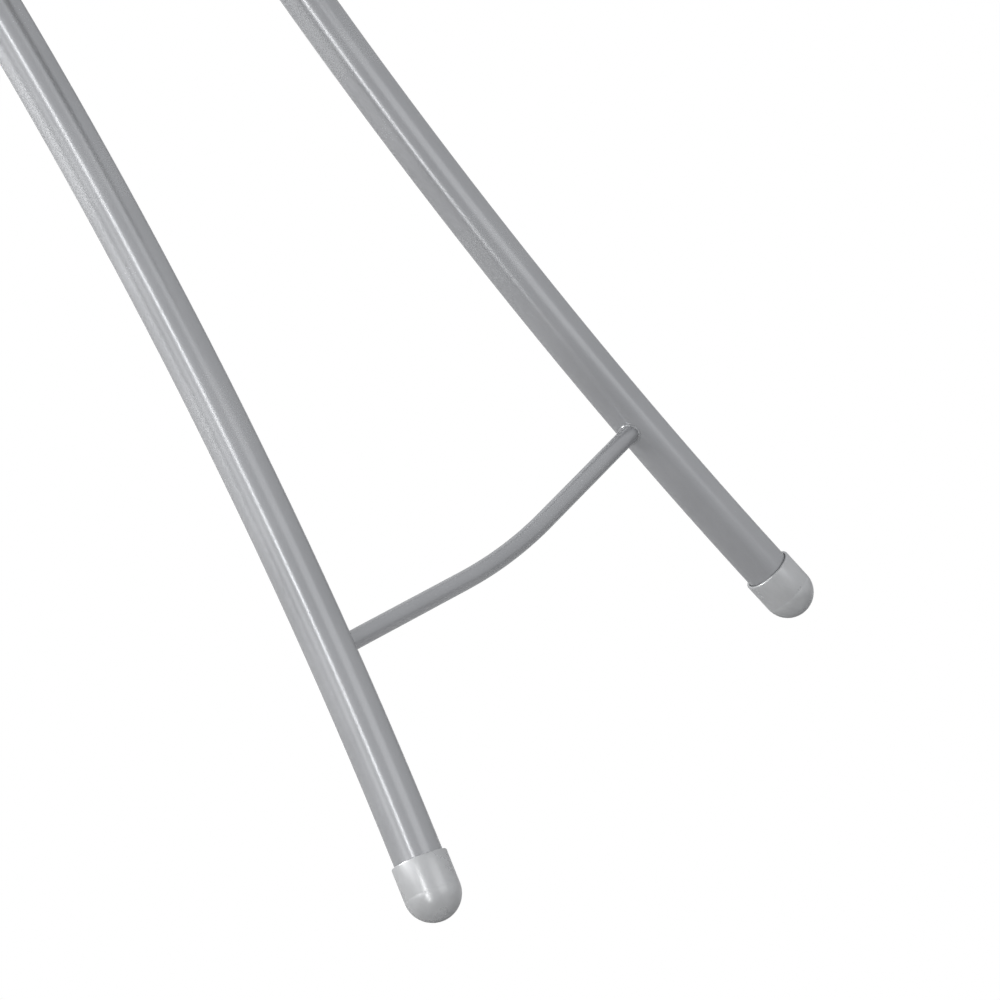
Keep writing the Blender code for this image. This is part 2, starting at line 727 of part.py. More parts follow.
def rod_bracket(name, x, facing, paint):
    """Small angle under the deck that holds one end of the clamp rod."""
    low = ROD_Z - ROD_R - ROD_BRACKET_EDGE
    foot = ROD_BRACKET_FOOT
    outline = [
        (0.0, low),
        (BRACKET_SHEET, low),
        (BRACKET_SHEET, UNDER_DECK),
        (BRACKET_SHEET - foot, UNDER_DECK),
        (BRACKET_SHEET - foot, UNDER_DECK - BRACKET_SHEET),
        (0.0, UNDER_DECK - BRACKET_SHEET),
    ]
    points = [Vector((x + facing * px, 0.0, pz)) for px, pz in outline]
    bracket = channel(name, points, Y_AXIS, -ROD_BRACKET_HALF, ROD_BRACKET_HALF, paint)
    reach = X_AXIS * (2 * BRACKET_SHEET)
    middle = Vector((x + facing * BRACKET_SHEET / 2, 0.0, ROD_Z))
    cut(bracket, cutter_rod(middle - reach, middle + reach, ROD_HOLE_R))


def clamp_rod(finishes):
    """Rod along the middle of the board on which the carriage slides and clamps, and its two angles."""
    start = Vector((ROD_START_X, 0.0, ROD_Z))
    end = Vector((ROD_END_X, 0.0, ROD_Z))
    add("clamp_rod", rod_mesh("clamp_rod", start, end, ROD_R, 12), finishes["steel"])
    rod_bracket("rod_bracket_rear", ROD_START_X + GAP, 1, finishes["board_paint"])
    rod_bracket("rod_bracket_front", ROD_END_X - GAP, -1, finishes["board_paint"])


def board(outer, finishes):
    paint, plastic = finishes["board_paint"], finishes["plastic"]
    rim_tube(paint)
    sheet("mesh_deck", DECK_INSET, DECK_Z, DECK_Z + DECK_SHEET, paint)
    sheet("felt_pad", COVER_SHEET + GAP, PAD_Z, PAD_Z + PAD_THICK, finishes["felt"])
    fitted_cover(finishes["cotton"])
    cross_member("cross_member_rear", REAR_MEMBER_X, paint)
    cross_member("cross_member_middle", MIDDLE_MEMBER_X, paint)
    for word, side in SIDES:
        slide_rail(word, side, paint)
        hinge_support(word, side, outer.half(LEG_LENGTH), paint, plastic)
        rest_guide(word, side, plastic)
    clamp_rod(finishes)


# ---------------------------------------------------------------- clamp lock


def carriage(axis, finishes):
    """Block that hangs the inner legs' bar on the clamp rod, with two ears for the handle's pin."""
    back = SLIDER_X - CARRIAGE_HALF_X
    high = ROD_Z + ROD_R + CARRIAGE_ROOF
    block = box_mesh(
        "slide_carriage",
        (back, -CARRIAGE_HALF_Y, CARRIAGE_LOW),
        (SLIDER_X + CARRIAGE_HALF_X, CARRIAGE_HALF_Y, high),
    )
    piece = add("slide_carriage", block, finishes["plastic"], axis, smooth=False)
    for _, side in SIDES:
        ys = sorted((side * (EAR_Y - EAR_SHEET), side * EAR_Y))
        ear_low = (PIN_X - EAR_PAST_PIN, ys[0], CARRIAGE_LOW + EAR_INSET)
        ear = helper_box(ear_low, (back + EAR_SHEET, ys[1], HINGE_Z + EAR_RISE))
        combine(piece, ear, "UNION")
    across = Y_AXIS * (2 * CARRIAGE_HALF_Y)
    along = X_AXIS * (2 * CARRIAGE_HALF_X)
    bar = Vector((SLIDER_X, 0.0, HINGE_Z))
    rod = Vector((SLIDER_X, 0.0, ROD_Z))
    pin = Vector((PIN_X, 0.0, PIN_Z))
    cut(
        piece,
        cutter_rod(bar - across, bar + across, BAR_BORE_R + GAP, 24),
        cutter_rod(rod - along, rod + along, ROD_HOLE_R + GAP),
        cutter_rod(pin - across, pin + across, PIN_R + RUN_GAP),
    )
    reach = Y_AXIS * (EAR_Y + PIN_R)
    add("lever_pin", rod_mesh("lever_pin", pin - reach, pin + reach, PIN_R, 12), finishes["steel"], axis)
    coil = []
    for i in range(SPRING_TURNS * SPRING_SIDES + 1):
        turn = i / SPRING_SIDES
        along = SPRING_PITCH * (turn - SPRING_TURNS / 2)
        coil.append(pin + Vector((SPRING_R * cos(2 * pi * turn), along, SPRING_R * sin(2 * pi * turn))))
    add("lever_spring", swept_mesh("lever_spring", coil, SPRING_WIRE, 1), finishes["steel"], axis)


def lock_plate(axis, steel):
    """Canting plate round the rod, with two lugs on the handle's pin. It leans by the cant angle."""
    pin = Vector((PIN_X, 0.0, PIN_Z))
    half = BRACKET_SHEET / 2
    web_x = SPRING_R + SPRING_WIRE + LUG_INSET + half
    low = -PIN_R - half - RUN_GAP
    rod_up = ROD_Z - PIN_Z
    top = rod_up + ROD_R + PLATE_EDGE
    web = box_mesh("lock_plate", (web_x - half, -PLATE_HALF_Y, low), (web_x + half, PLATE_HALF_Y, top))
    plate = add("lock_plate", web, steel, axis, smooth=False)
    for _, side in SIDES:
        outer = PLATE_HALF_Y - LUG_INSET
        ys = sorted((side * (outer - BRACKET_SHEET), side * outer))
        lug = helper_box((-PLATE_LUG_BACK, ys[0], low - LUG_INSET), (web_x, ys[1], -low))
        combine(plate, lug, "UNION")
    along = X_AXIS * (4 * BRACKET_SHEET)
    across = Y_AXIS * (2 * PLATE_HALF_Y)
    rod = Vector((web_x, 0.0, rod_up))
    cut(
        plate,
        cutter_rod(rod - along, rod + along, ROD_R + PLATE_ROD_PLAY),
        cutter_rod(-across, across, PIN_R + RUN_GAP),
    )
    cant = Matrix.Translation(pin) @ Matrix.Rotation(-CANT, 4, "Y")
    for thing in (plate, *(m.object for m in plate.modifiers)):
        thing.data.transform(cant)


def release_handle(axis, finishes):
    """Bent wire handle welded to the plate's lugs, with a grip sleeve on its cross bar.

    Each step of its run is a distance back from the pin and a drop below it: the first bend, the
    end of the flare and the cross bar.
    """
    pin = Vector((PIN_X, 0.0, PIN_Z))
    root_y = PLATE_HALF_Y - LUG_INSET - BRACKET_SHEET - GAP - HANDLE_R
    start = Vector((-PIN_R - LUG_INSET, 0.0, 0.0))
    bend, flare, end = (Vector((-back, 0.0, -drop)) for back, drop in HANDLE_RUN)
    half = [
        pin + end + Y_AXIS * HANDLE_HALF_Y,
        pin + flare + Y_AXIS * HANDLE_HALF_Y,
        pin + bend + Y_AXIS * root_y,
        pin + start + Y_AXIS * root_y,
    ]
    mirrored = [Vector((p.x, -p.y, p.z)) for p in reversed(half)]
    path = rounded_path(mirrored + half, HANDLE_BEND_R, 2)
    add("release_handle", swept_mesh("release_handle", path, HANDLE_R, 2), finishes["steel"], axis)
    ring = ring_profile(HANDLE_R + GAP, GRIP_R, -GRIP_HALF, GRIP_HALF)
    add("handle_grip", turned_mesh("handle_grip", ring, pin + end, Y_AXIS, 16), finishes["plastic"], axis)


# ---------------------------------------------------------------- iron rest


def rest_guide(word, side, plastic):
    """Moulded guide block under the tail, bored for one rod of the iron rest."""
    half_y = REST_R + GUIDE_WALL
    low = (GUIDE_X - GUIDE_LENGTH / 2, side * REST_Y - half_y, REST_Z - REST_R - GUIDE_FLOOR)
    high = (GUIDE_X + GUIDE_LENGTH / 2, side * REST_Y + half_y, UNDER_DECK)
    name = "rest_guide_" + word
    guide = add(name, box_mesh(name, low, high), plastic, smooth=False)
    middle = Vector((GUIDE_X, side * REST_Y, REST_Z))
    along = X_AXIS * GUIDE_LENGTH
    cut(guide, cutter_rod(middle - along, middle + along, REST_R + RUN_GAP))


def iron_rest(axis, finishes):
    """Wire tray that slides out of the tail on its two rods, with stop collars and heat sleeves."""
    steel, silicone = finishes["rest_paint"], finishes["silicone"]
    collar_x = GUIDE_X + GUIDE_LENGTH / 2 + GAP
    rod_end = collar_x + STOP_LENGTH + ROD_TAIL
    far_x = REST_END_X + REST_R
    corners = [(rod_end, REST_Y), (far_x, REST_Y), (far_x, -REST_Y), (rod_end, -REST_Y)]
    path = rounded_path([Vector((x, y, REST_Z)) for x, y in corners], REST_CORNER_R, 5)
    add("rest_frame", swept_mesh("rest_frame", path, REST_R, 3), steel, axis)
    wire_z = REST_Z + REST_R + REST_WIRE_R + GAP
    for i in range(REST_WIRES):
        x = REST_END_X + REST_FIRST_WIRE + REST_WIRE_STEP * i
        name = f"rest_wire_{i + 1}"
        reach = Y_AXIS * (REST_Y + REST_R)
        middle = Vector((x, 0.0, wire_z))
        add(name, rod_mesh(name, middle - reach, middle + reach, REST_WIRE_R, 8), steel, axis)
        if i + 1 in SLEEVED_WIRES:
            bore = REST_WIRE_R + GAP
            ring = ring_profile(bore, bore + HEAT_SLEEVE_WALL, -HEAT_SLEEVE_HALF, HEAT_SLEEVE_HALF)
            name = f"heat_sleeve_{SLEEVED_WIRES.index(i + 1) + 1}"
            add(name, turned_mesh(name, ring, middle, Y_AXIS, 12), silicone, axis)
    for word, side in SIDES:
        middle = Vector((collar_x, side * REST_Y, REST_Z))
        ring = ring_profile(REST_R + GAP, REST_R + STOP_WALL, 0.0, STOP_LENGTH)
        name = "rest_stop_" + word
        add(name, turned_mesh(name, ring, middle, X_AXIS, 16), finishes["steel"], axis)


# ---------------------------------------------------------------- build


def build():
    clear_scene()
    finishes = {
        "leg_paint": finish("silver_grey_paint", (0.40, 0.41, 0.42), 0.34, 0.6),
        "board_paint": finish("light_grey_paint", (0.45, 0.46, 0.47), 0.45, 0.3),
        "rest_paint": finish("grey_wire_coating", (0.30, 0.31, 0.32), 0.40, 0.3),
        "cap": finish("pale_grey_cap_plastic", (0.50, 0.51, 0.53), 0.38),
        "plastic": finish("dark_grey_plastic", (0.10, 0.10, 0.11), 0.50),
        "steel": finish("zinc_plated_steel", (0.62, 0.62, 0.60), 0.30, 1.0),
        "felt": finish("white_felt", (0.80, 0.79, 0.75), 0.95),
        "cotton": finish("pale_cotton", (0.66, 0.70, 0.74), 0.90),
        "silicone": finish("dark_silicone", (0.06, 0.06, 0.07), 0.65),
    }
    outer, inner = leg_pairs()
    outer_axis = joint_axis("outer_legs_axis", Vector((HINGE_X, 0.0, HINGE_Z)))
    inner_axis = joint_axis("inner_legs_axis", PIVOT)
    carriage_axis = joint_axis("carriage_axis", Vector((SLIDER_X, 0.0, HINGE_Z)))
    handle_axis = joint_axis("handle_axis", Vector((PIN_X, 0.0, PIN_Z)))
    rest_axis = joint_axis("iron_rest_axis", Vector((GUIDE_X, 0.0, REST_Z)))
    board(outer, finishes)
    outer_legs(outer, inner, outer_axis, finishes)
    inner_legs(inner, inner_axis, finishes)
    carriage(carriage_axis, finishes)
    lock_plate(handle_axis, finishes["steel"])
    release_handle(handle_axis, finishes)
    iron_rest(rest_axis, finishes)


build()
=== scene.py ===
"""Looks of the ironing board: bowed satin-grey legs, domed caps, mesh deck, felt, cotton cover, wire rest."""

import json
from math import atan2, cos, hypot, pi, radians, sin, sqrt, tan

import bmesh
import bpy
from mathutils import Matrix, Quaternion, Vector

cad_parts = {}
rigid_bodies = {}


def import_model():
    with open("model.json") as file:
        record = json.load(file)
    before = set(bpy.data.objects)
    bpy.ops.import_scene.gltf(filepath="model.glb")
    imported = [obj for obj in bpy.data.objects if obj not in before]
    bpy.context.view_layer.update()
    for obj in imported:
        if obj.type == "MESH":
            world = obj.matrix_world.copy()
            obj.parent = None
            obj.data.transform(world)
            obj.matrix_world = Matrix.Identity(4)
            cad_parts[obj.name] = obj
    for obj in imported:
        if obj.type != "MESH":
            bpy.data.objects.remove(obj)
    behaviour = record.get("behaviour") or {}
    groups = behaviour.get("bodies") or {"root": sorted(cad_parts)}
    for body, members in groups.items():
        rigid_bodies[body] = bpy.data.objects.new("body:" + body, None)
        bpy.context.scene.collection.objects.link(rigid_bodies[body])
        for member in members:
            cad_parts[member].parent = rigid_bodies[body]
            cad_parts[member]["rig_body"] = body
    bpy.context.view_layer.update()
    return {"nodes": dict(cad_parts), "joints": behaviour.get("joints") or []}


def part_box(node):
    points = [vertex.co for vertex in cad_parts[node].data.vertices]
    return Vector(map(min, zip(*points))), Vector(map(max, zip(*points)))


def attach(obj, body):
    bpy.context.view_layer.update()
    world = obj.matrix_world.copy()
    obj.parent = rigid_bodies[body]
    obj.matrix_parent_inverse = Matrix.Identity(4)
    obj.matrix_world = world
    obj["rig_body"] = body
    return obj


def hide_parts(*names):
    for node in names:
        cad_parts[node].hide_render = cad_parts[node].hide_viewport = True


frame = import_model()

X, Y, Z = Vector((1, 0, 0)), Vector((0, 1, 0)), Vector((0, 0, 1))
SIDES = (("left", 1), ("right", -1))
JOINTS = {joint["name"]: Vector(joint["pos_m"]) for joint in frame["joints"] if joint["type"] == "hinge"}
HINGE = JOINTS["outer_legs_fold"]
PIVOT = JOINTS["legs_cross"]
SLIDER = JOINTS["carriage_level"]
PIN = JOINTS["handle_squeeze"]

# Shared sheet sizes and small clearances
GAP = 0.0003
SHEET = 0.0015
PLATE = 0.003
TINY = 1e-6

# Legs
TUBE_R = 0.0125
OUTER_GAP = 0.108
OUTER_BOW_R = 1.95
OUTER_STRAIGHT_FROM = 0.14
INNER_GAP = 0.079
INNER_BOW_R = 4.1
TUBE_SIDES = 56
CAP_R = 0.0143
CAP_BORE_R = 0.0128
CAP_SLEEVE = 0.0177
BRACE_R = 0.005
BRACE_UP = 0.123
BRACE_DROP = 0.015
BRACE_BEND_R = 0.47
BAR_R = 0.010
BEAD_R = 0.0013

# Board outline
TAIL_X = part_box("felt_pad")[0].x - 0.0011
NOSE_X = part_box("felt_pad")[1].x + 0.0011
HALF_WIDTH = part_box("fitted_cover")[1].y
NOSE_TAPER = 0.55
TAIL_CORNER_R = 0.045
RIM_R = 0.009
RIM_INSET = 0.0101


# ---- Materials


def node(tree, kind, **settings):
    """A shader node with its attributes set."""
    made = tree.nodes.new("ShaderNode" + kind)
    for key, value in settings.items():
        setattr(made, key, value)
    return made


def feed(tree, made, **inputs):
    """Links or sets inputs, each named with _ for a space, or numbered as i0, i1 and so on."""
    for key, value in inputs.items():
        numbered = key[0] == "i" and key[1:].isdigit()
        socket = made.inputs[int(key[1:]) if numbered else key.replace("_", " ")]
        if isinstance(value, bpy.types.NodeSocket):
            tree.links.new(value, socket)
        else:
            socket.default_value = value
    return made


def group(name, values, masks):
    """An empty shader group. A place and the named values go in, and the masks come out."""
    tree = bpy.data.node_groups.new(name, "ShaderNodeTree")
    tree.interface.new_socket("Place", in_out="INPUT", socket_type="NodeSocketVector")
    for way, labels in (("INPUT", values), ("OUTPUT", masks)):
        for label in labels:
            tree.interface.new_socket(label, in_out=way, socket_type="NodeSocketFloat")
    return tree, tree.nodes.new("NodeGroupInput").outputs, tree.nodes.new("NodeGroupOutput").inputs


def noise(tree, place, scale, detail=3.0, roughness=0.5):
    made = node(tree, "TexNoise")
    feed(tree, made, Vector=place, Scale=scale, Detail=detail, Roughness=roughness)
    return made.outputs["Fac"]


def ranged(tree, value, low, high, to_low=0.0, to_high=1.0):
    made = node(tree, "MapRange", clamp=True, interpolation_type="SMOOTHSTEP")
    return feed(tree, made, i0=value, i1=low, i2=high, i3=to_low, i4=to_high).outputs[0]


def maths(tree, operation, first, second=0.0):
    made = node(tree, "Math", operation=operation)
    return feed(tree, made, i0=first, i1=second).outputs[0]


def times(tree, first, second):
    return maths(tree, "MULTIPLY", first, second)


def blend(tree, factor, first, second):
    made = node(tree, "Mix", data_type="RGBA")
    feed(tree, made, i0=factor, i6=first, i7=second)
    return made.outputs[2]


def stretched(tree, place, scale):
    made = node(tree, "Mapping")
    return feed(tree, made, Vector=place, Scale=scale).outputs[0]


def two_noises(name, coarse, fine, share, result, detail):
    """Group that lays a fine noise over a coarse one, by the share given."""
    tree, given, out = group(name, (coarse, fine, share), (result,))
    slow = noise(tree, given["Place"], given[coarse], detail)
    fast = noise(tree, given["Place"], given[fine], 2.0)
    made = feed(tree, node(tree, "Mix", data_type="FLOAT"), i0=given[share], i2=slow, i3=fast)
    tree.links.new(made.outputs[0], out[result])
    return tree


def fleck_group():
    """Mask of sparse small flecks, for nibs in paint, dust and lint."""
    tree, given, out = group("flecks", ("Scale", "Size"), ("Mask",))
    cells = node(tree, "TexVoronoi", feature="F1")
    feed(tree, cells, Vector=given["Place"], Scale=given["Scale"], Randomness=1.0)
    pick = feed(tree, node(tree, "SeparateColor"), Color=cells.outputs["Color"])
    few = maths(tree, "GREATER_THAN", pick.outputs[0], 0.86)
    near = maths(tree, "LESS_THAN", cells.outputs["Distance"], given["Size"])
    tree.links.new(times(tree, few, near), out["Mask"])
    return tree


def wear_group():
    """Mask of rubbed edges: convex edges broken up by noise."""
    tree, given, out = group("edge_wear", ("Scale", "Reach"), ("Mask",))
    edge = node(tree, "NewGeometry").outputs["Pointiness"]
    rough = noise(tree, given["Place"], given["Scale"], 4.0, 0.7)
    shifted = maths(tree, "ADD", edge, times(tree, maths(tree, "SUBTRACT", rough, 0.5), 0.12))
    full = maths(tree, "ADD", given["Reach"], 0.05)
    tree.links.new(ranged(tree, shifted, given["Reach"], full), out["Mask"])
    return tree


def weave_group():
    """Height and shade of a plain weave, threads over and under each other in X and Y."""
    tree, given, out = group("weave", ("Threads", "Unevenness"), ("Height", "Shade"))
    split = feed(tree, node(tree, "SeparateXYZ"), Vector=given["Place"])
    wobble = times(tree, noise(tree, given["Place"], 90.0), given["Unevenness"])
    crossing = []
    for axis, other in (("X", "Y"), ("Y", "X")):
        along = times(tree, split.outputs[axis], given["Threads"])
        across = times(tree, split.outputs[other], given["Threads"])
        thread = maths(tree, "ABSOLUTE", maths(tree, "SINE", maths(tree, "ADD", across, wobble)))
        over = times(tree, maths(tree, "SINE", along), 0.5)
        crossing.append(times(tree, thread, maths(tree, "ADD", over, 0.6)))
    height = maths(tree, "MAXIMUM", *crossing)
    tree.links.new(height, out["Height"])
    slub = noise(tree, stretched(tree, given["Place"], (60.0, 900.0, 900.0)), 1.0, 3.0)
    tree.links.new(times(tree, maths(tree, "ADD", height, slub), 0.5), out["Shade"])
    return tree


def seam_group():
    """Masks of a rolled tube's long weld seam and of the faint lines that drawing leaves along it."""
    tree, given, out = group("tube_seam", ("Width", "Turn"), ("Seam", "Draw lines"))
    split = feed(tree, node(tree, "SeparateXYZ"), Vector=given["Place"])
    angle = maths(tree, "ARCTAN2", split.outputs["Y"], split.outputs["X"])
    off = maths(tree, "ABSOLUTE", maths(tree, "SUBTRACT", angle, given["Turn"]))
    tree.links.new(ranged(tree, off, given["Width"], 0.0), out["Seam"])
    lines = noise(tree, stretched(tree, given["Place"], (900.0, 900.0, 9.0)), 1.0, 2.0)
    tree.links.new(lines, out["Draw lines"])
    return tree


# Mottle is a slow drift of shade with a fine grain, and peel the long waves and fine grit of paint.
MIXES = (
    ("mottle", "Drift scale", "Grain scale", "Grain share", "Shade", 4.0),
    ("paint_peel", "Wave scale", "Grit scale", "Grit share", "Height", 1.0),
)
MADE = [*(two_noises(*mix) for mix in MIXES), fleck_group(), wear_group(), weave_group(), seam_group()]
GROUPS = {tree.name: tree for tree in MADE}


def use(tree, name, **inputs):
    """Places a shared group in a material, with its own values."""
    made = node(tree, "Group", node_tree=GROUPS[name])
    return feed(tree, made, **inputs).outputs


def finish(name, unbent=False, **shader_values):
    """A material, its tree, its shader and the place its patterns read."""
    material = bpy.data.materials.new(name)
    material.use_nodes = True
    tree = material.node_tree
    shader = tree.nodes["Principled BSDF"]
    feed(tree, shader, **shader_values)
    if unbent:
        place = node(tree, "Attribute", attribute_name="unbent").outputs["Vector"]
    else:
        place = node(tree, "TexCoord").outputs["Object"]
    return material, tree, shader, place


def tones(tree, shade, dark, light, low=0.35, high=0.65):
    return blend(tree, ranged(tree, shade, low, high), (*dark, 1.0), (*light, 1.0))


def tint(tree, colour, mask, amount, tone):
    """The colour, moved towards a tone where the mask says so."""
    return blend(tree, times(tree, mask, amount), colour, (*tone, 1.0))


def mottled(tree, place, drift, grain, share):
    return use(tree, "mottle", Place=place, Drift_scale=drift, Grain_scale=grain, Grain_share=share)["Shade"]


def peel(tree, place, wave, grit, share):
    return use(tree, "paint_peel", Place=place, Wave_scale=wave, Grit_scale=grit, Grit_share=share)["Height"]


def coat(tree, shader, colour, shade, smooth, rough):
    feed(tree, shader, Base_Color=colour, Roughness=ranged(tree, shade, 0.3, 0.7, smooth, rough))


def bump(tree, shader, height, strength, distance):
    made = feed(tree, node(tree, "Bump"), Strength=strength, Distance=distance, Height=height)
    feed(tree, shader, Normal=made.outputs["Normal"])


def leg_paint(name, unbent, dark, light, gloss):
    """Silver-grey metallic powder paint; on drawn tube it shows the seam groove with painted shade in it, and
    faint lines along it.
    """
    material, tree, shader, place = finish(
        name, unbent, Metallic=0.62, Coat_Roughness=0.28, Coat_Weight=0.12, Specular_IOR_Level=0.45
    )
    shade = mottled(tree, place, 9.0, 1700.0, 0.20)
    colour = tones(tree, shade, dark, light)
    height = peel(tree, place, 120.0, 1500.0, 0.04)
    if unbent:
        seam = use(tree, "tube_seam", Place=place, Width=0.045, Turn=2.2)
        # The seam's darker colour is painted shade in its groove; the groove itself is cut into the height
        # two lines below.
        colour = tint(tree, colour, seam["Seam"], 0.30, (0.16, 0.16, 0.17))
        height = maths(tree, "ADD", height, times(tree, seam["Draw lines"], 0.20))
        height = maths(tree, "SUBTRACT", height, times(tree, seam["Seam"], 0.8))
    nibs = use(tree, "flecks", Place=place, Scale=34.0, Size=0.022)["Mask"]
    colour = tint(tree, colour, nibs, 0.55, (0.05, 0.05, 0.05))
    coat(tree, shader, colour, shade, gloss - 0.03, gloss + 0.04)
    bump(tree, shader, height, 0.06, 0.00012)
    return material


def moulded(name, dark, light, gloss, grit, strength, scuff=0.25):
    """Moulded plastic or rubber: even colour, fine mould texture, a little scuffing and dust."""
    material, tree, shader, place = finish(name, Specular_IOR_Level=0.5)
    shade = mottled(tree, place, 45.0, grit, 0.35)
    colour = tones(tree, shade, dark, light)
    scuffs = use(tree, "edge_wear", Place=place, Scale=420.0, Reach=0.54)["Mask"]
    colour = tint(tree, colour, scuffs, scuff, [min(1.0, 1.5 * c) for c in light])
    dust = use(tree, "flecks", Place=place, Scale=150.0, Size=0.05)["Mask"]
    colour = tint(tree, colour, dust, 0.2, (0.7, 0.7, 0.68))
    coat(tree, shader, colour, shade, gloss - 0.04, gloss + 0.06)
    bump(tree, shader, peel(tree, place, grit / 6, grit, 0.6), strength, 0.00012)
    return material


def pearly(name, dark, light, gloss):
    """Satin silver-tinted plastic: even, with a slow drift of shade and soft moulding waves."""
    material, tree, shader, place = finish(name, Metallic=0.55, Specular_IOR_Level=0.5)
    shade = mottled(tree, place, 45.0, 1200.0, 0.1)
    coat(tree, shader, tones(tree, shade, dark, light), shade, gloss - 0.02, gloss + 0.03)
    bump(tree, shader, peel(tree, place, 120.0, 1200.0, 0.05), 0.04, 0.00012)
    return material


def zinc_steel():
    """Zinc-plated steel: cool bright metal with cloudy passivation and rubbed edges."""
    material, tree, shader, place = finish("zinc_plated_steel", Metallic=1.0)
    shade = mottled(tree, place, 120.0, 2600.0, 0.3)
    colour = tones(tree, shade, (0.46, 0.46, 0.44), (0.66, 0.67, 0.67))
    rubbed = use(tree, "edge_wear", Place=place, Scale=500.0, Reach=0.53)["Mask"]
    colour = blend(tree, rubbed, colour, (0.80, 0.80, 0.79, 1.0))
    coat(tree, shader, colour, shade, 0.24, 0.42)
    streaks = noise(tree, stretched(tree, place, (200.0, 2600.0, 2600.0)), 1.0, 2.0)
    bump(tree, shader, streaks, 0.10, 0.0001)
    return material


def cotton():
    """Plain-woven cotton, slightly uneven, with a soft sheen and a faint bloom of lint."""
    material, tree, shader, place = finish(
        "woven_cotton", Sheen_Weight=0.25, Sheen_Roughness=0.45, Specular_IOR_Level=0.25, Roughness=0.88
    )
    weave = use(tree, "weave", Place=place, Threads=2100.0, Unevenness=0.9)
    colour = tones(tree, weave["Shade"], (0.36, 0.40, 0.455), (0.50, 0.54, 0.59), 0.3, 0.75)
    bloom = ranged(tree, mottled(tree, place, 7.0, 600.0, 0.3), 0.3, 0.7, 0.0, 0.22)
    feed(tree, shader, Base_Color=blend(tree, bloom, colour, (0.62, 0.63, 0.64, 1.0)))
    bump(tree, shader, weave["Height"], 0.55, 0.00022)
    return material


def felt():
    """Pressed white felt: matted fibres with darker shoddy flecks in it."""
    material, tree, shader, place = finish(
        "pressed_felt", Sheen_Weight=0.4, Roughness=0.96, Specular_IOR_Level=0.15
    )
    fibres = noise(tree, place, 900.0, 6.0, 0.75)
    colour = tones(tree, fibres, (0.60, 0.585, 0.54), (0.80, 0.79, 0.755), 0.3, 0.7)
    flecks = use(tree, "flecks", Place=place, Scale=210.0, Size=0.12)["Mask"]
    feed(tree, shader, Base_Color=tint(tree, colour, flecks, 0.55, (0.22, 0.24, 0.30)))
    bump(tree, shader, fibres, 0.8, 0.0006)
    return material


SILVER = ((0.375, 0.380, 0.390), (0.425, 0.430, 0.440))
PALE = ((0.40, 0.41, 0.42), (0.47, 0.48, 0.49))
DARK = ((0.050, 0.052, 0.056), (0.075, 0.077, 0.080))
BLACKISH = ((0.030, 0.031, 0.034), (0.046, 0.046, 0.050))
FINISHES = {
    "leg_paint": leg_paint("silver_leg_paint_on_tube", True, *SILVER, 0.25),
    "flat_leg_paint": leg_paint("silver_leg_paint", False, *SILVER, 0.28),
    "board_paint": leg_paint("light_grey_board_paint", False, *PALE, 0.44),
    "rim_paint": leg_paint("light_grey_board_paint_on_tube", True, *PALE, 0.42),
    "rest_coating": leg_paint("grey_wire_coating", True, (0.24, 0.25, 0.26), (0.30, 0.31, 0.32), 0.38),
    "cap_plastic": pearly("pale_cap_plastic", (0.48, 0.485, 0.49), (0.53, 0.535, 0.54), 0.28),
    "dark_plastic": moulded("dark_grey_plastic", *DARK, 0.46, 1800.0, 0.35),
    "silicone": moulded("dark_silicone", *BLACKISH, 0.62, 2400.0, 0.30, 0.1),
    "zinc_steel": zinc_steel(),
    "cotton": cotton(),
    "felt": felt(),
}
# The last word of a piece's name, and its material
TUBE, PRESSING = ("tube", "leg_paint"), ("pressing", "board_paint")
MOULDING, TURNING = ("moulding", "dark_plastic"), ("turning", "zinc_steel")


# ---- Shaping


def placed(name, data):
    """An object of the scene that shows the data given."""
    made = bpy.data.objects.new(name, data)
    bpy.context.collection.objects.link(made)
    return made


def piece(name, bm, look, body, nodes=(), sharp=35.0):
    """Makes the finished piece, which rides on a body and stands for the nodes given."""
    bmesh.ops.remove_doubles(bm, verts=bm.verts, dist=TINY)
    bmesh.ops.recalc_face_normals(bm, faces=bm.faces)
    mesh = bpy.data.meshes.new(name)
    bm.to_mesh(mesh)
    bm.free()
    mesh.shade_smooth()
    mesh.set_sharp_from_angle(angle=radians(sharp))
    mesh.materials.append(FINISHES[look])
    made = placed(name, mesh)
    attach(made, body)
    if nodes:
        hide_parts(*nodes)
    return made


def stand_in(cad_node, word, bm, look, sharp=35.0):
    """The finished piece for one CAD node, on that node's own body."""
    body = frame["nodes"][cad_node]["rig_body"]
    return piece(f"{cad_node}_{word}", bm, look, body, [cad_node], sharp)


def turn_to(direction):
    return Z.rotation_difference(direction).to_matrix().to_4x4()


def ring_edges(ring):
    inside = set(ring)
    return list({e for v in ring for e in v.link_edges if e.other_vert(v) in inside})


def grow(bm, ring):
    """Extrudes a ring of edges and gives the new ring, each vertex in its old one's order."""
    out = bmesh.ops.extrude_edge_only(bm, edges=ring_edges(ring))["geom"]
    fresh = {v for v in out if isinstance(v, bmesh.types.BMVert)}
    return [next(e.other_vert(v) for e in v.link_edges if e.other_vert(v) in fresh) for v in ring]


def fill(bm, ring):
    bmesh.ops.contextual_create(bm, geom=ring_edges(ring))


def frames_along(points, closed):
    """A matrix at each point whose Z runs along the path, carried from point to point without twist."""
    frames = []
    count = len(points)
    turned = None
    for i, point in enumerate(points):
        before = points[i - 1] if i or closed else point
        after = points[(i + 1) % count] if i + 1 < count or closed else point
        ahead = (after - before).normalized()
        if turned is None:
            turned = Z.rotation_difference(ahead)
        else:
            turned = (turned @ Z).rotation_difference(ahead) @ turned
        frames.append(Matrix.Translation(point) @ turned.to_matrix().to_4x4())
    return frames


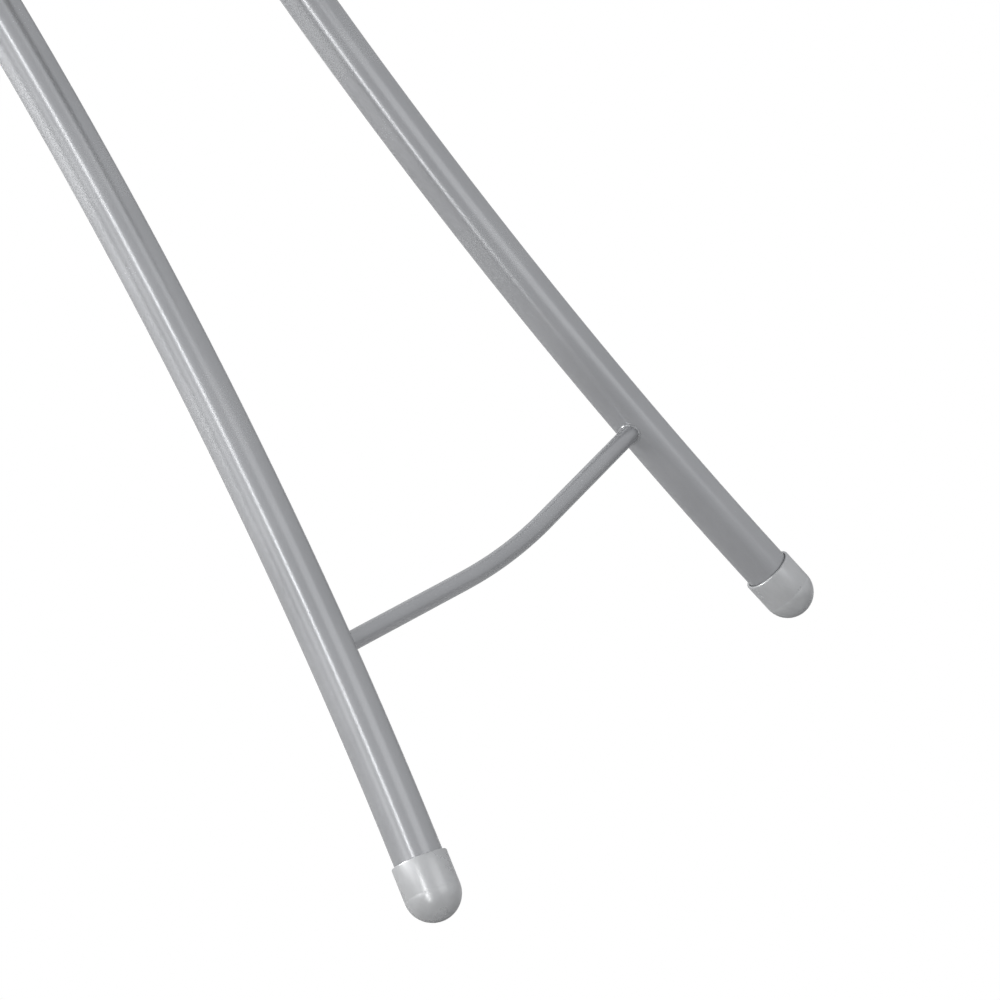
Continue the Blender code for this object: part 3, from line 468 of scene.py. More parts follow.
def sweep(bm, stations, sides=TUBE_SIDES, closed=False):
    """Runs a ring along (point, radius) stations, and notes its unbent place on each vertex."""
    unbent = bm.verts.layers.float_vector.get("unbent") or bm.verts.layers.float_vector.new("unbent")
    frames = frames_along([point for point, _ in stations], closed)
    ring = bmesh.ops.create_circle(bm, segments=sides, radius=1.0)["verts"]
    first, before, run = ring, Matrix.Identity(4), 0.0
    for i, (point, radius) in enumerate(stations):
        if i:
            ring = grow(bm, ring)
            run += (point - stations[i - 1][0]).length
        place = frames[i] @ Matrix.Diagonal((radius, radius, radius, 1.0))
        bmesh.ops.transform(bm, matrix=place @ before.inverted(), verts=ring)
        before = place
        back = frames[i].inverted()
        for v in ring:
            local = back @ v.co
            v[unbent] = Vector((local.x, local.y, run))
    if closed:
        bmesh.ops.bridge_loops(bm, edges=ring_edges(first) + ring_edges(ring))
    else:
        fill(bm, first)
        fill(bm, ring)


def wire_stations(points, radius):
    """Stations of a wire whose two ends are rounded off."""

    def ending(tip, inner):
        way = (inner - tip).normalized() * radius
        turns = (0.05, pi / 8, pi / 4, 3 * pi / 8)
        rounding = [(tip + way * (1 - sin(a)), radius * (0.15 + 0.85 * sin(a))) for a in turns]
        return [*rounding, (tip + way, radius)]

    middle = [(p, radius) for p in points[1:-1]]
    return ending(points[0], points[1]) + middle + ending(points[-1], points[-2])[::-1]


def bar_stations(start, end, radius, lip, steps=1):
    """Stations of a straight bar whose two ends are eased."""
    along = (end - start).normalized() * lip
    middle = [(start.lerp(end, i / steps), radius) for i in range(1, steps)]
    near = [(start, radius - lip), (start + along, radius)]
    return [*near, *middle, (end - along, radius), (end, radius - lip)]


def corner_points(corner, before, after, radius, steps):
    """Points of the arc that rounds a corner between two straight runs."""
    back = (before - corner).normalized()
    on = (after - corner).normalized()
    half = back.angle(on) / 2
    centre = corner + (back + on).normalized() * (radius / sin(half))
    first = corner + back * (radius / tan(half)) - centre
    last = corner + on * (radius / tan(half)) - centre
    spin = first.angle(last)
    axis = first.cross(last).normalized()
    return [centre + Matrix.Rotation(spin * i / steps, 3, axis) @ first for i in range(steps + 1)]


def rounded_path(points, radius, steps=8):
    path = [points[0]]
    for before, corner, after in zip(points, points[1:], points[2:]):
        path += corner_points(corner, before, after, radius, steps)
    return path + [points[-1]]


def turning(bm, profile, centre, axis, steps, flats=0.0, hex_from=None, hex_to=None):
    """A (radius, height) profile turned about an axis. Flats give it a hexagon between two heights."""
    held = set(bm.verts)
    ring = [bm.verts.new((r, 0.0, z)) for r, z in profile]
    edges = [bm.edges.new((ring[i], ring[i + 1])) for i in range(len(ring) - 1)]
    if profile[0][0] > TINY:
        edges.append(bm.edges.new((ring[-1], ring[0])))
    bmesh.ops.spin(
        bm, geom=ring + edges, axis=(0, 0, 1), cent=(0, 0, 0), angle=2 * pi, steps=steps, use_merge=True
    )
    fresh = [v for v in bm.verts if v not in held]
    if flats:
        for v in fresh:
            radius = hypot(v.co.x, v.co.y)
            if hex_from <= v.co.z <= hex_to and radius > TINY:
                turn = (atan2(v.co.y, v.co.x) + pi / 6) % (pi / 3) - pi / 6
                share = min(radius, flats / cos(turn)) / radius
                v.co.x *= share
                v.co.y *= share
    bmesh.ops.transform(bm, matrix=Matrix.Translation(centre) @ turn_to(axis), verts=fresh)


def eased(cad_node, word, look, width, segments=2):
    """The node's own solid with its sharp edges eased, as bent sheet and moulded blocks have."""
    bm = bmesh.new()
    bm.from_mesh(frame["nodes"][cad_node].data)
    for layers in (bm.verts.layers.float_vector, bm.loops.layers.uv):
        for layer in list(layers.values()):
            layers.remove(layer)
    bmesh.ops.remove_doubles(bm, verts=bm.verts, dist=2 * TINY)
    bmesh.ops.dissolve_limit(bm, angle_limit=radians(2.0), verts=bm.verts, edges=bm.edges)
    edges = [e for e in bm.edges if len(e.link_faces) == 2 and e.calc_face_angle(0.0) > radians(32)]
    bevel = {"offset": width, "offset_type": "OFFSET", "segments": segments, "profile": 0.5}
    bmesh.ops.bevel(bm, geom=edges, affect="EDGES", clamp_overlap=True, material=-1, **bevel)
    stand_in(cad_node, word, bm, look, 30.0)


def swept(cad_node, word, look, stations, sides=TUBE_SIDES):
    """The finished piece for a CAD node that is a bent or straight round bar."""
    bm = bmesh.new()
    sweep(bm, stations, sides)
    stand_in(cad_node, word, bm, look)


def lathe(cad_node, word, look, profile, centre, axis, steps=48, sharp=50.0, hexagon=()):
    """The finished piece for a CAD node that is round about an axis."""
    bm = bmesh.new()
    turning(bm, profile, centre, axis, steps, *hexagon)
    stand_in(cad_node, word, bm, look, sharp)


def eased_ring(bore, radius, start, end, ease, between=()):
    """Profile of a ring, or of a rod where the bore is zero, with eased outer edges."""
    near = [(bore, start), (radius - ease, start), (radius, start + ease)]
    return [*near, *between, (radius, end - ease), (radius - ease, end), (bore, end)]


def raised(profile, by):
    return [(radius, by + height) for radius, height in profile]


def box_of(cad_node):
    """Middle, radius and half length of a node that lies along Y."""
    low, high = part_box(cad_node)
    return (low + high) / 2, (high.z - low.z) / 2, (high.y - low.y) / 2


def bead(bm, loop, radius, seed):
    """A hand-laid weld bead, uneven in thickness, along a closed loop of points."""
    stations = []
    for i, point in enumerate(loop):
        turn = 2 * pi * i / len(loop)
        uneven = 1.0 + 0.13 * sin(9 * turn + seed) + 0.08 * sin(17 * turn + 2.3 * seed)
        stations.append((point, radius * uneven))
    sweep(bm, stations, 10, closed=True)


def saddle(centre, axis, radius, out, branch_r, count):
    """Loop where a thinner rod that leaves along one direction meets the surface of a round tube."""
    side_a = out.cross(axis).normalized()
    side_b = out.cross(side_a).normalized()
    loop = []
    for i in range(count):
        t = 2 * pi * i / count
        from_centre = (side_a * cos(t) + side_b * sin(t)) * branch_r
        flat_p = from_centre - axis * from_centre.dot(axis)
        flat_u = out - axis * out.dot(axis)
        a, b, c = flat_u.dot(flat_u), 2 * flat_p.dot(flat_u), flat_p.dot(flat_p) - radius**2
        reach = (sqrt(b * b - 4 * a * c) - b) / (2 * a)
        loop.append(centre + from_centre + out * reach)
    return loop


# ---- Legs


class Legs:
    """Lean and bow of one pair of legs."""

    def __init__(self, top, gap, bow_r, straight_from):
        self.foot = 2 * PIVOT - top
        self.length = (top - self.foot).length
        self.up = (top - self.foot).normalized()
        self.gap, self.bow_r, self.straight_from = gap, bow_r, straight_from

    def half(self, v):
        t = v - self.length / 2
        bent = min(t, self.straight_from)
        rise = sqrt(self.bow_r**2 - bent**2)
        return self.gap + self.bow_r - rise + (bent / rise) * (t - bent)

    def point(self, v, side):
        return self.foot + self.up * v + Y * (side * self.half(v))

    def direction(self, v, side):
        step = 0.001
        return (self.point(v + step, side) - self.point(v - step, side)).normalized()


OUTER = Legs(HINGE, OUTER_GAP, OUTER_BOW_R, OUTER_STRAIGHT_FROM)
INNER = Legs(SLIDER, INNER_GAP, INNER_BOW_R, 0.0)


def leg_tube(cad_node, legs, side, top, welded):
    """Bowed tube from inside its cap to its top, which is welded to the bar or open for a plug."""
    steps = 64
    heights = [GAP] + [CAP_SLEEVE + (top - 0.012 - CAP_SLEEVE) * i / steps for i in range(steps + 1)]
    stations = [(legs.point(v, side), TUBE_R) for v in heights]
    if welded:
        ending = ((0.006, 0.0), (0.003, 0.0006), (0.001, 0.0018), (0.0, 0.0034))
    else:
        ending = ((0.001, 0.0), (0.0003, 0.0001), (0.0, 0.0004))
    stations += [(legs.point(top - back, side), TUBE_R - less) for back, less in ending]
    swept(cad_node, *TUBE, stations)


def foot_cap(cad_node, legs, side):
    """Domed push-on cap with a fine parting line under its sleeve and a softened mouth."""
    steps = 16
    dome = [(CAP_R * sin(a), -CAP_R * cos(a)) for a in (pi / 2 * i / steps for i in range(steps + 1))]
    groove = [(CAP_R - 0.00004, 0.0003), (CAP_R - 0.00004, 0.0008), (CAP_R, 0.0011)]
    mouth = [(CAP_R, -0.00045), (CAP_R - 0.00006, -0.0002), (CAP_R - 0.0002, -0.00006), (CAP_R - 0.0004, 0.0)]
    mouth += [(CAP_BORE_R + 0.0002, 0.0), (CAP_BORE_R, -0.0003)]
    profile = [*dome, *groove, *raised(mouth, CAP_SLEEVE), (CAP_BORE_R, 0.0), (0.0, 0.0)]
    foot = legs.point(0.0, side)
    straight = (legs.point(CAP_SLEEVE, side) - foot).normalized()
    lathe(cad_node, "moulding", "cap_plastic", profile, foot, straight, 72)


def brace_line(legs):
    """Points of the brace's centre line, from leg to leg."""
    half = legs.half(BRACE_UP)
    slope = atan2(BRACE_DROP, half)
    bend, rise = BRACE_BEND_R * sin(slope), BRACE_BEND_R * cos(slope)
    low = BRACE_UP - BRACE_DROP + bend * tan(slope)
    steps = 28
    middle = [bend * (2 * i / steps - 1) for i in range(steps + 1)]
    curve = [(y, low + rise - sqrt(BRACE_BEND_R**2 - y * y)) for y in middle]
    ends = [(-half, BRACE_UP), *curve, (half, BRACE_UP)]
    return [legs.foot + legs.up * v + Y * y for y, v in ends]


def brace(cad_node, legs):
    """Thin cross tube with its two weld beads."""
    line = brace_line(legs)
    swept(cad_node, *TUBE, [(p, BRACE_R) for p in line], 40)
    beads = bmesh.new()
    for side, end, near in ((-1, line[0], line[1]), (1, line[-1], line[-2])):
        out = (near - end).normalized()
        loop = saddle(end, legs.direction(BRACE_UP, side), TUBE_R - 0.0001, out, BRACE_R + 0.0002, 40)
        bead(beads, loop, 0.0008, 2.0 + side)
    piece(f"{cad_node}_welds", beads, "flat_leg_paint", frame["nodes"][cad_node]["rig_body"])


def top_bar(cad_node, start, end):
    swept(cad_node, *TUBE, bar_stations(start, end, BAR_R, 0.0004, 20), 48)


def tube_plug(cad_node, mouth, outward, radius):
    """Pressed-in plug: softly domed head on a plain stem."""
    head, stem = 0.002 + GAP, radius - 0.002
    profile = [(0.0, -0.006), (radius - 0.0026, -0.006), (stem, -0.005), (stem, GAP), (radius - 0.0002, GAP)]
    profile += [(radius, GAP + 0.0002), (radius, 0.0009)]
    for a in (pi / 8, pi / 4, 3 * pi / 8, pi / 2):
        profile.append((radius - 0.0012 * (1 - cos(a)), 0.0009 + (head - 0.0013) * sin(a)))
    profile += [(radius * 0.5, head - 0.0001), (0.0, head)]
    lathe(cad_node, *MOULDING, profile, mouth, outward)


def pivot_set(word, side):
    """Socket-headed bolt, moulded spacer and lock nut through the crossing of the legs."""
    out = Y * side
    outside = OUTER.half(OUTER.length / 2) + TUBE_R + GAP
    between = OUTER.half(OUTER.length / 2) - TUBE_R - GAP
    inside = INNER.half(INNER.length / 2) - TUBE_R - GAP
    shank, head, pitch = 0.003, 0.0065, 0.0005
    end = inside - 0.007
    thread = [(shank - 0.0003 * (i % 2), end + 0.0006 + pitch / 2 * i) for i in range(1, 14)]
    bolt = [(0.0, end), (shank - 0.0006, end), (shank, end + 0.0006), *thread, (shank, inside + 0.001)]
    crown = [(shank, 0.0), (head - 0.0004, 0.0), (head, 0.0004), (head, 0.0012), (head - 0.0006, 0.0022)]
    crown += [(head - 0.0018, 0.0031), (0.0034, 0.0035), (0.0028, 0.0035), (0.0026, 0.0012), (0.0, 0.0009)]
    bolt += raised(crown, outside)
    socket = (0.0023, outside + 0.0005, outside + 0.0013)
    lathe("pivot_bolt_" + word, *TURNING, bolt, PIVOT, out, 48, 30.0, socket)
    nut = [(shank, -0.005), (0.0042, -0.005), (0.0047, -0.0045), (0.0048, -0.0038), (0.0053, -0.0036)]
    nut += [(0.0058, -0.0032), (0.0058, -0.0005), (0.0052, 0.0), (shank, 0.0)]
    flats = (0.00502, inside - 0.00365, inside + 0.0001)
    lathe("pivot_nut_" + word, *TURNING, raised(nut, inside), PIVOT, out, 48, 30.0, flats)
    far, near, bore = between - 0.0034, between, shank + GAP
    spacer = [(bore, far), (0.0092, far), (0.0098, far + 0.0003), (0.0100, far + 0.0007)]
    spacer += [(0.0100, near - 0.0007), (0.0098, near - 0.0003), (0.0092, near), (bore, near)]
    lathe("pivot_spacer_" + word, *MOULDING, spacer, PIVOT, out)


def legs():
    """Both pairs of legs, with the welds on their bars and the sleeves that run in the rails."""
    low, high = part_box("outer_top_bar")
    ends = {side: Vector((HINGE.x, y, HINGE.z)) for side, y in ((1, high.y), (-1, low.y))}
    top_bar("outer_top_bar", ends[-1], ends[1])
    reach = Y * (INNER.half(INNER.length) - 0.004)
    top_bar("inner_top_bar", SLIDER - reach, SLIDER + reach)
    outer_welds, inner_welds = bmesh.new(), bmesh.new()
    for word, side in SIDES:
        leg_tube("outer_leg_" + word, OUTER, side, OUTER.length, True)
        leg_tube("inner_leg_" + word, INNER, side, INNER.length + TUBE_R, False)
        foot_cap("outer_cap_" + word, OUTER, side)
        foot_cap("inner_cap_" + word, INNER, side)
        tube_plug("bar_plug_" + word, ends[side], Y * side, BAR_R)
        tube_plug("leg_plug_" + word, INNER.point(INNER.length + TUBE_R, side), INNER.up, TUBE_R)
        pivot_set(word, side)
        top, lean = OUTER.point(OUTER.length, side), OUTER.direction(OUTER.length - 0.01, side)
        for way in (1, -1):
            loop = saddle(top, lean, TUBE_R - 0.0004, Y * way, BAR_R + 0.0001, 48)
            bead(outer_welds, loop, BEAD_R, side + 3 * way)
        top, lean = INNER.point(INNER.length, side), INNER.direction(INNER.length, side)
        loop = saddle(top, lean, TUBE_R - 0.0002, Y * -side, BAR_R + 0.0001, 48)
        bead(inner_welds, loop, BEAD_R, side + 5)
    piece("outer_bar_welds", outer_welds, "flat_leg_paint", "outer_legs")
    piece("inner_bar_welds", inner_welds, "flat_leg_paint", "inner_legs")
    brace("outer_brace", OUTER)
    brace("inner_brace", INNER)
    for word, _ in SIDES:
        middle, radius, half = box_of("slide_sleeve_" + word)
        profile = eased_ring(BAR_R + GAP, radius, -half, half, 0.0004)
        lathe("slide_sleeve_" + word, *MOULDING, profile, middle, Y)


# ---- Board


def edge_walk(nose_steps=60, side_steps=40, corner_steps=14, tail_steps=18):
    """Points round the board's outer edge with their outward normals, from the nose along +Y and back."""
    nose_x = NOSE_X - NOSE_TAPER
    half = []
    for i in range(nose_steps + 1):
        t = pi / 2 * (i / nose_steps) ** 1.15
        c, s = cos(t), sin(t)
        half.append((nose_x + NOSE_TAPER * c, HALF_WIDTH * s, c / NOSE_TAPER, s / HALF_WIDTH))
    corner_x, corner_y = TAIL_X + TAIL_CORNER_R, HALF_WIDTH - TAIL_CORNER_R
    for i in range(1, side_steps):
        half.append((nose_x + (corner_x - nose_x) * i / side_steps, HALF_WIDTH, 0.0, 1.0))
    for i in range(corner_steps + 1):
        t = pi / 2 + pi / 2 * i / corner_steps
        half.append((corner_x + TAIL_CORNER_R * cos(t), corner_y + TAIL_CORNER_R * sin(t), cos(t), sin(t)))
    for i in range(1, tail_steps + 1):
        half.append((TAIL_X, corner_y * (1 - i / tail_steps), -1.0, 0.0))
    whole = half + [(x, -y, nx, -ny) for x, y, nx, ny in reversed(half[1:-1])]
    return [(Vector((x, y, 0.0)), Vector((nx, ny, 0.0)).normalized()) for x, y, nx, ny in whole]


EDGE = edge_walk()


def runs_of_edge():
    """Length run round the edge at each of its points."""
    runs, total = [], 0.0
    for i, (point, _) in enumerate(EDGE):
        runs.append(total)
        total += (EDGE[(i + 1) % len(EDGE)][0] - point).length
    return runs, total


RUNS, ROUND = runs_of_edge()


def spine(point):
    """Nearest point of the line down the board's middle, towards which the top closes."""
    return Vector((min(max(point.x, TAIL_X + 0.16), NOSE_X - 0.24), 0.0, 0.0))


def edge_skin(bm, rings):
    """Skins rings round the board's edge. Each is a function of (point, normal, run) that gives a place."""
    ring = bmesh.ops.create_circle(bm, segments=len(EDGE), radius=1.0)["verts"]
    for i, place in enumerate(rings):
        if i:
            ring = grow(bm, ring)
        for v, (point, normal), run in zip(ring, EDGE, RUNS):
            v.co = place(point, normal, run)


def at(inset, height):
    return lambda point, normal, run: point - normal * inset + Z * height


def inward(share, inset, height):
    """Ring a share of the way from the inset edge to the middle."""
    return lambda point, normal, run: (point - normal * inset).lerp(spine(point), share) + Z * height


def gathers(run):
    """Puckers of the elastic hem, even round the edge but never quite alike. It runs from -1 to 1."""
    turn = 2 * pi * run / ROUND
    wide = 0.55 * sin(118 * turn + 1.3 * sin(7 * turn)) + 0.30 * sin(73 * turn + 2.0 * sin(5 * turn))
    return wide + 0.15 * sin(191 * turn)


def cloth(inset, height, pucker, lift=0.0):
    """Ring of the cover where the gathers push it in and up by up to the given amounts."""
    def place(point, normal, run):
        wave = 0.5 + 0.5 * gathers(run)
        return point - normal * (inset + pucker * wave) + Z * (height + lift * wave)
    return place


def fitted_cover():
    """Cotton cover drawn over the pad's soft edge, down past the rim and in under it by an elastic hem."""
    low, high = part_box("fitted_cover")
    top, under = high.z, low.z
    crown = ((1.0, 0.0008), (0.85, 0.0007), (0.6, 0.0006), (0.35, 0.0004), (0.15, 0.0002))
    edge = ((0.02, 0.0), (0.012, 0.0002), (0.007, 0.0008), (0.0035, 0.0022), (0.0014, 0.0042))
    skirt = ((0.0001, 0.0085, 0.0006, 0.0), (0.0004, 0.0050, 0.0009, 0.0), (0.0016, 0.0018, 0.0010, 0.0004))
    skirt += ((0.0042, 0.0004, 0.0006, 0.0006), (0.0095, 0.0, 0.0004, 0.0010), (0.0150, -0.0004, 0.0, 0.0014))
    skirt += ((0.0200, -0.0006, 0.0, 0.0022), (0.0245, -0.0004, 0.0, 0.0026))
    rings = [inward(share, 0.02, top + up) for share, up in crown]
    rings += [at(inset, top - down) for inset, down in (*edge, (0.0004, 0.0070))]
    rings += [cloth(0.0001, (top + under) / 2, 0.0003)]
    rings += [cloth(inset, under + up, pucker, lift) for inset, up, pucker, lift in skirt]
    bm = bmesh.new()
    edge_skin(bm, rings)
    cover = stand_in("fitted_cover", "cloth", bm, "cotton", 80.0)
    wall = cover.modifiers.new("cloth_thickness", "SOLIDIFY")
    wall.thickness = 0.0007
    wall.offset = -1.0
    casing = bmesh.new()
    hem_line = cloth(0.0255, under + 0.0002, 0.0, 0.0026)
    stations = [(hem_line(p, n, r), 0.0019 * (1 + 0.16 * gathers(r))) for (p, n), r in zip(EDGE, RUNS)]
    sweep(casing, stations, 12, closed=True)
    hem = piece("cover_elastic_hem", casing, "cotton", "board", sharp=80.0)
    return under


def hem_stitches(under):
    """Row of short stitches that closes the casing of the elastic."""
    bm = bmesh.new()
    pitch, length, radius = 0.0065, 0.0042, 0.00032
    count = int(ROUND / pitch)
    for i in range(count):
        run = ROUND * (i + 0.5) / count
        near = min(range(len(RUNS)), key=lambda k: abs(RUNS[k] - run))
        (p, n), (q, m) = EDGE[near], EDGE[(near + 1) % len(EDGE)]
        share = (run - RUNS[near]) / max(TINY, (q - p).length)
        point, normal = p.lerp(q, share), n.lerp(m, share).normalized()
        place = cloth(0.0215, under - 0.0016, 0.0, 0.0023)(point, normal, run)
        along = Z.cross(normal)
        held = set(bm.verts)
        ends = {"radius1": radius, "radius2": radius * 0.6, "depth": length}
        bmesh.ops.create_cone(bm, cap_ends=True, segments=6, **ends)
        fresh = [v for v in bm.verts if v not in held]
        bmesh.ops.transform(bm, matrix=Matrix.Translation(place) @ turn_to(along), verts=fresh)
    return bm


def felt_pad():
    """Felt layer with a soft, slightly crowned top and rolled edges, flat where it lies on the deck."""
    low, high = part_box("felt_pad")
    bottom, top = low.z, high.z - 0.0004
    rings = [inward(1.0, 0.02, bottom), inward(0.5, 0.02, bottom), at(0.02, bottom), at(0.0035, bottom)]
    rings += [at(0.0020, bottom + 0.0006), at(0.0013, bottom + 0.0020), at(0.0016, bottom + 0.0034)]
    rings += [at(0.0030, top - 0.0012), at(0.0058, top - 0.0004), at(0.010, top - 0.0001), at(0.02, top)]
    rings += [inward(share, 0.02, top + up) for share, up in ((0.3, 0.0002), (0.65, 0.0003), (1.0, 0.0003))]
    bm = bmesh.new()
    edge_skin(bm, rings)
    pad = stand_in("felt_pad", "layer", bm, "felt", 60.0)


def mesh_deck():
    """Expanded-steel deck: a lattice of diamonds clipped to the board, with a plain edge band round it."""
    low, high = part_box("mesh_deck")
    long_way, short_way, strand, band = 0.024, 0.0115, 0.0011, 0.0075
    edge_inset = 0.0062
    count = 100
    bm = bmesh.new()
    bmesh.ops.create_grid(bm, x_segments=count, y_segments=count, size=count / 2)
    bmesh.ops.rotate(bm, matrix=Matrix.Rotation(pi / 4, 3, "Z"), verts=bm.verts)
    centre = Vector(((NOSE_X + TAIL_X) / 2, 0.0, high.z))
    bmesh.ops.scale(bm, vec=(long_way / sqrt(2), short_way / sqrt(2), 1.0), verts=bm.verts)
    bmesh.ops.translate(bm, vec=centre, verts=bm.verts)
    for point, normal in EDGE[::3]:
        inner = point - normal * (edge_inset + band) + Z * high.z
        geom = bm.verts[:] + bm.edges[:] + bm.faces[:]
        bmesh.ops.bisect_plane(bm, geom=geom, plane_co=inner, plane_no=normal, clear_outer=True, dist=TINY)
    bmesh.ops.remove_doubles(bm, verts=bm.verts, dist=0.0004)
    rim = [e for e in bm.edges if e.is_boundary]
    least = 0.55 * long_way * short_way / 2
    open_cells = [f for f in bm.faces if f.calc_area() > least]
    bmesh.ops.inset_individual(bm, faces=open_cells, thickness=strand, use_even_offset=True)
    bmesh.ops.delete(bm, geom=open_cells, context="FACES")
    rim = [e for e in rim if e.is_valid and e.is_boundary]
    grown = bmesh.ops.extrude_edge_only(bm, edges=rim)["geom"]
    for v in grown:
        if isinstance(v, bmesh.types.BMVert):
            v.co += outward_at(v.co) * band
    deck = stand_in("mesh_deck", "pressing", bm, "board_paint", 30.0)
    wall = deck.modifiers.new("sheet", "SOLIDIFY")
    wall.thickness = high.z - low.z
    wall.offset = -1.0


def outward_at(place):
    """Outward direction in the board's plane at a place near its edge."""
    nearest = min(EDGE, key=lambda pair: (pair[0].x - place.x) ** 2 + (pair[0].y - place.y) ** 2)
    return nearest[1]


def rim_tube():
    """Edge tube bent round the board, welded where its ends meet at the tail."""
    low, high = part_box("rim_tube")
    height = (low.z + high.z) / 2
    bm = bmesh.new()
    sweep(bm, [(point - normal * RIM_INSET + Z * height, RIM_R) for point, normal in EDGE], 28, closed=True)
    stand_in("rim_tube", "bend", bm, "rim_paint")
    joint = Vector((TAIL_X + RIM_INSET, 0.0, height))
    beads = bmesh.new()
    turns = [2 * pi * i / 40 for i in range(40)]
    loop = [joint + turn_to(Y) @ Vector((RIM_R * cos(a), RIM_R * sin(a), 0)) for a in turns]
    bead(beads, loop, 0.0008, 4.0)
    for word in ("rear", "middle"):
        inner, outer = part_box("cross_member_" + word)
        for side in (1, -1):
            for x in (inner.x + 0.002, outer.x - 0.002):
                end = Vector((x, side * (HALF_WIDTH - 0.0195), outer.z - 0.0022))
                sweep(beads, wire_stations([end - X * 0.0035, end, end + X * 0.0035], 0.0016), 12)
    piece("board_welds", beads, "board_paint", "board")


def rivets():
    """Domed rivet heads under the feet of the brackets and the flanges of the rails."""
    bm = bmesh.new()
    head = [(0.0, -0.0013), (0.0012, -0.00124), (0.0023, -0.0009), (0.0029, -0.0004), (0.0030, 0.0)]
    head += [(0.0030, 0.0002), (0.0, 0.0002)]
    spots = []
    for word, side in SIDES:
        low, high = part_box("hinge_bracket_" + word)
        y = low.y + 0.0045 if side > 0 else high.y - 0.0045
        spots += [Vector((x, y, high.z - PLATE)) for x in (low.x + 0.008, high.x - 0.008)]
        low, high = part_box("slide_rail_" + word)
        y = low.y + 0.0062 if side > 0 else high.y - 0.0062
        rivet_line = [low.x + 0.02 + (high.x - low.x - 0.04) * i / 4 for i in range(5)]
        spots += [Vector((x, y, high.z - SHEET)) for x in rivet_line]
    for word, facing in (("rear", 1), ("front", -1)):
        low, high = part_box("rod_bracket_" + word)
        x = low.x + 0.006 if facing > 0 else high.x - 0.006
        spots += [Vector((x, y, high.z - PLATE)) for y in (-0.010, 0.010)]
    for spot in spots:
        turning(bm, head, spot, Z, 20)
    piece("deck_rivets", bm, "zinc_steel", "board", sharp=50.0)


def board():
    rim_tube()
    mesh_deck()
    felt_pad()
    under = fitted_cover()
    piece("cover_hem_stitches", hem_stitches(under), "cotton", "board")
    for member, bracket in (("rear", "rear"), ("middle", "front")):
        eased("cross_member_" + member, *PRESSING, 0.0005)
        eased("rod_bracket_" + bracket, *PRESSING, 0.0005)
    for word, side in SIDES:
        eased("slide_rail_" + word, *PRESSING, 0.0004)
        eased("hinge_bracket_" + word, *PRESSING, 0.0005)
        eased("rest_guide_" + word, *MOULDING, 0.0009, 3)
        hinge_bush(word, side)
    middle, radius, _ = box_of("clamp_rod")
    start, end = (Vector((corner.x, 0.0, middle.z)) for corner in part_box("clamp_rod"))
    swept("clamp_rod", "bar", "zinc_steel", bar_stations(start, end, radius, 0.0006), 40)
    rivets()


def hinge_bush(word, side):
    """Flanged bush in which the outer legs' bar turns."""
    low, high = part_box("hinge_bush_" + word)
    middle, flange_r, _ = box_of("hinge_bush_" + word)
    near, far = (low.y, high.y) if side > 0 else (-high.y, -low.y)
    bore, wall, flange = BAR_R + GAP, 0.0017, 0.0015
    body_r, ease = bore + wall, 0.0004
    profile = [(bore, near), (body_r - ease, near), (body_r, near + ease), (body_r, far - flange)]
    profile += [(flange_r, far - flange), (flange_r, far - ease), (flange_r - ease, far), (bore, far)]
    centre = Vector((middle.x, 0.0, middle.z))
    lathe("hinge_bush_" + word, *MOULDING, profile, centre, Y * side)


# ---- Clamp lock


def clamp_lock():
    """Carriage, canting plate, handle, grip, pin and torsion spring."""
    eased("slide_carriage", *MOULDING, 0.0010, 3)
    eased("lock_plate", "pressing", "zinc_steel", 0.0004)
    low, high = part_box("lever_pin")
    pin = eased_ring(0.0, (high.z - low.z) / 2, low.y, high.y, 0.0004)
    lathe("lever_pin", *TURNING, pin, Vector((PIN.x, 0.0, PIN.z)), Y, 32, 35.0)
    coil_r, wire_r, turns, pitch = 0.0036, 0.0006, 4, 0.0020
    coil = []
    for i in range(turns * 24 + 1):
        a = 2 * pi * i / 24
        coil.append(PIN + Vector((coil_r * cos(a), pitch * (i / 24 - turns / 2), coil_r * sin(a))))
    swept("lever_spring", "wire", "zinc_steel", [(p, wire_r) for p in coil], 12)
    root_y, half_y, handle_r = 0.0164, 0.036, 0.0025
    bends = [(-0.070, half_y, -0.004), (-0.0315, half_y, -0.0025), (-0.0173, root_y, -0.0014)]
    arm = [PIN + Vector(place) for place in (*bends, (-0.0028, root_y, 0.0))]
    mirrored = [Vector((p.x, -p.y, p.z)) for p in reversed(arm)]
    wire = wire_stations(rounded_path(mirrored + arm, 0.006), handle_r)
    swept("release_handle", "wire", "zinc_steel", wire, 24)
    middle, radius, half = box_of("handle_grip")
    bore, ribs = handle_r + GAP, 9
    profile = [(bore, -half), (radius - 0.0010, -half), (radius - 0.0002, 0.0010 - half)]
    for i in range(ribs * 4 + 1):
        depth = 0.0006 * (0.5 - 0.5 * cos(2 * pi * i / 4))
        profile.append((radius - depth, (half - 0.004) * (i / (ribs * 2) - 1)))
    profile += [(radius - 0.0002, half - 0.0010), (radius - 0.0010, half), (bore, half)]
    lathe("handle_grip", *MOULDING, profile, middle, Y, 40, 60.0)


# ---- Iron rest


